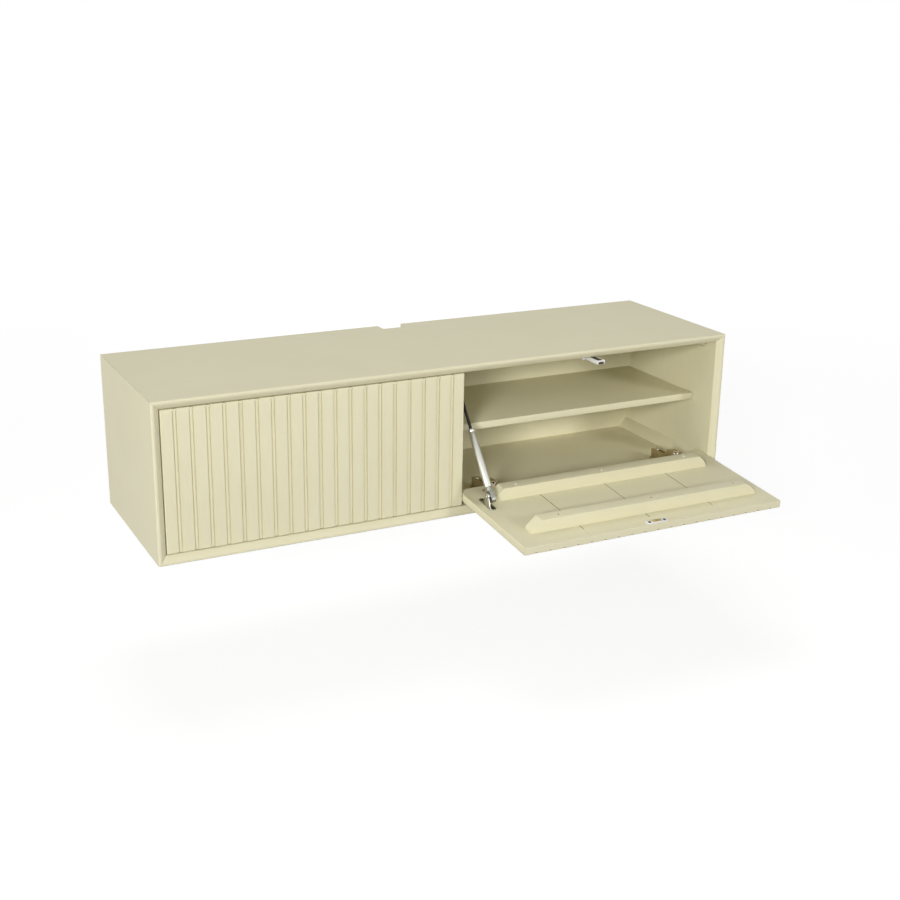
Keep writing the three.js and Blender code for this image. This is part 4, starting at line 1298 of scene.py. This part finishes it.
# Screw heads and plugs, scattered on points by one node tree. Heads are one unit wide and stand on z = 0
fastenerSettings = {
    "steps": 24, "seed": 7, "recessReach": 0.30, "recessArm": 0.085, "recessDepth": 0.10, "recessTaper": 0.8,
    "screw": [(0.5, -0.06), (0.5, 0.042), (0.46, 0.09), (0.38, 0.12)],
    "plug": [(0, -0.05), (0.34, -0.05), (0.34, 0.012), (0.2, 0.022), (0, 0.025)],
    "plugBump": [(0, -0.05), (0.5, -0.05), (0.47, 0.09), (0.3, 0.2), (0, 0.24)],
    "plugRing": [
        (0.33, -0.05), (0.5, -0.05), (0.5, 0.012), (0.45, 0.045), (0.38, 0.045), (0.33, 0.012), (0.33, -0.05),
    ],
}
fastenerFinishes = {
    "crossScrew": brightSteel, "darkScrew": darkScrew, "paleScrew": metals["paleSteel"],
    "plug": plastics["brownPlugShade"], "plugRing": paintAlong["x"], "plugBump": plastics["palePlugHighlight"],
}


def screwHead(name, settings, material):  # a domed head with a cross recess
    work = bmesh.new()
    steps, rise = settings["steps"], settings["screw"][-1][1]
    rings = []
    for radius, height in settings["screw"]:
        angles = [2 * math.pi * i / steps for i in range(steps)]
        rings.append([work.verts.new((radius * math.cos(a), radius * math.sin(a), height)) for a in angles])
    reach, arm, taper = settings["recessReach"], settings["recessArm"], settings["recessTaper"]
    cross = []
    for c, s in ((1, 0), (0, 1), (-1, 0), (0, -1)):
        cross += [(a * c - b * s, a * s + b * c) for a, b in ((reach, -arm), (reach, arm), (arm, arm))]
    edge = [work.verts.new((a, b, rise)) for a, b in cross]
    deep = [work.verts.new((a * taper, b * taper, rise - settings["recessDepth"])) for a, b in cross]
    for lower, upper in (*zip(rings, rings[1:]), (edge, deep)):
        for i, j in zip(range(len(lower)), [*range(1, len(lower)), 0]):
            work.faces.new((lower[i], lower[j], upper[j], upper[i]))
    work.faces.new(rings[0][::-1])
    work.faces.new(deep)
    border = [work.edges.get(pair) for loop in (rings[-1], edge) for pair in zip(loop, loop[1:] + loop[:1])]
    bmesh.ops.triangle_fill(work, edges=border, use_beauty=True, use_dissolve=False)
    bmesh.ops.recalc_face_normals(work, faces=work.faces)
    mesh = bpy.data.meshes.new(name)
    work.to_mesh(mesh)
    work.free()
    mesh.materials.append(material)
    return bpy.data.objects.new(name, mesh)


def turnedHead(name, settings, material):
    piece = lathe(name, settings[name], "z", (0, 0, 0), material, settings["steps"])
    for collection in list(piece.users_collection):
        collection.objects.unlink(piece)
    return piece


def fastenerTree():
    tree, names, take = nodeTree("scatteredFasteners", {
        "Geometry": ["Geometry"], "Object": ["Head"], "Int": ["Seed"], "Material": ["Finish"]})

    def stored(name, kind):
        node = addNode(tree, "GeometryNodeInputNamedAttribute", {"Name": name}, data_type=kind)
        return node.outputs["Attribute"]

    head = addNode(tree, "GeometryNodeObjectInfo", {"Object": take["Head"]})
    facing = stored("facing", "FLOAT_VECTOR")
    face = addNode(tree, "FunctionNodeAlignRotationToVector", {"Vector": facing}, axis="Z")
    chance = addNode(tree, "FunctionNodeRandomValue", {"Seed": take["Seed"]}, data_type="FLOAT")
    angle = Field(tree, [socket for socket in chance.outputs if socket.enabled][0]) * (2 * math.pi)
    spin = addNode(tree, "FunctionNodeAxisAngleToRotation", {"Axis": (0, 0, 1), "Angle": angle})
    turns = {"Rotation": face, "Rotate By": spin}
    turn = addNode(tree, "FunctionNodeRotateRotation", turns, rotation_space="LOCAL")
    spread = addNode(tree, "GeometryNodeInstanceOnPoints", {
        "Points": take["Geometry"], "Instance": head.outputs["Geometry"], "Rotation": turn,
        "Scale": stored("width", "FLOAT")})
    endTree(tree, spread, take["Finish"])
    return tree, names


def scatterFasteners(settings, finishes):
    tree, names = fastenerTree()
    heads = {}
    for kind, finish in finishes.items():
        heads[kind] = (screwHead if kind.endswith("Screw") else turnedHead)(kind, settings, finish)
    for (body, kind, slotName), places in fasteners.items():
        name = f"{body}_{kind}s_{slotName}"
        mesh = bpy.data.meshes.new(name)
        mesh.from_pydata([point for point, _, _ in places], [], [])
        mesh.attributes.new("facing", "FLOAT_VECTOR", "POINT")
        mesh.attributes.new("width", "FLOAT", "POINT")
        for i, (_, direction, size) in enumerate(places):
            mesh.attributes["facing"].data[i].vector = direction
            mesh.attributes["width"].data[i].value = size
        values = {"Head": heads[kind], "Seed": settings["seed"], "Finish": finishes[kind]}
        finishPiece(growFromTree(name, tree, names, values, mesh), body)
    for head in heads.values():
        bpy.data.objects.remove(head)


scatterFasteners(fastenerSettings, fastenerFinishes)
print("fasteners placed")
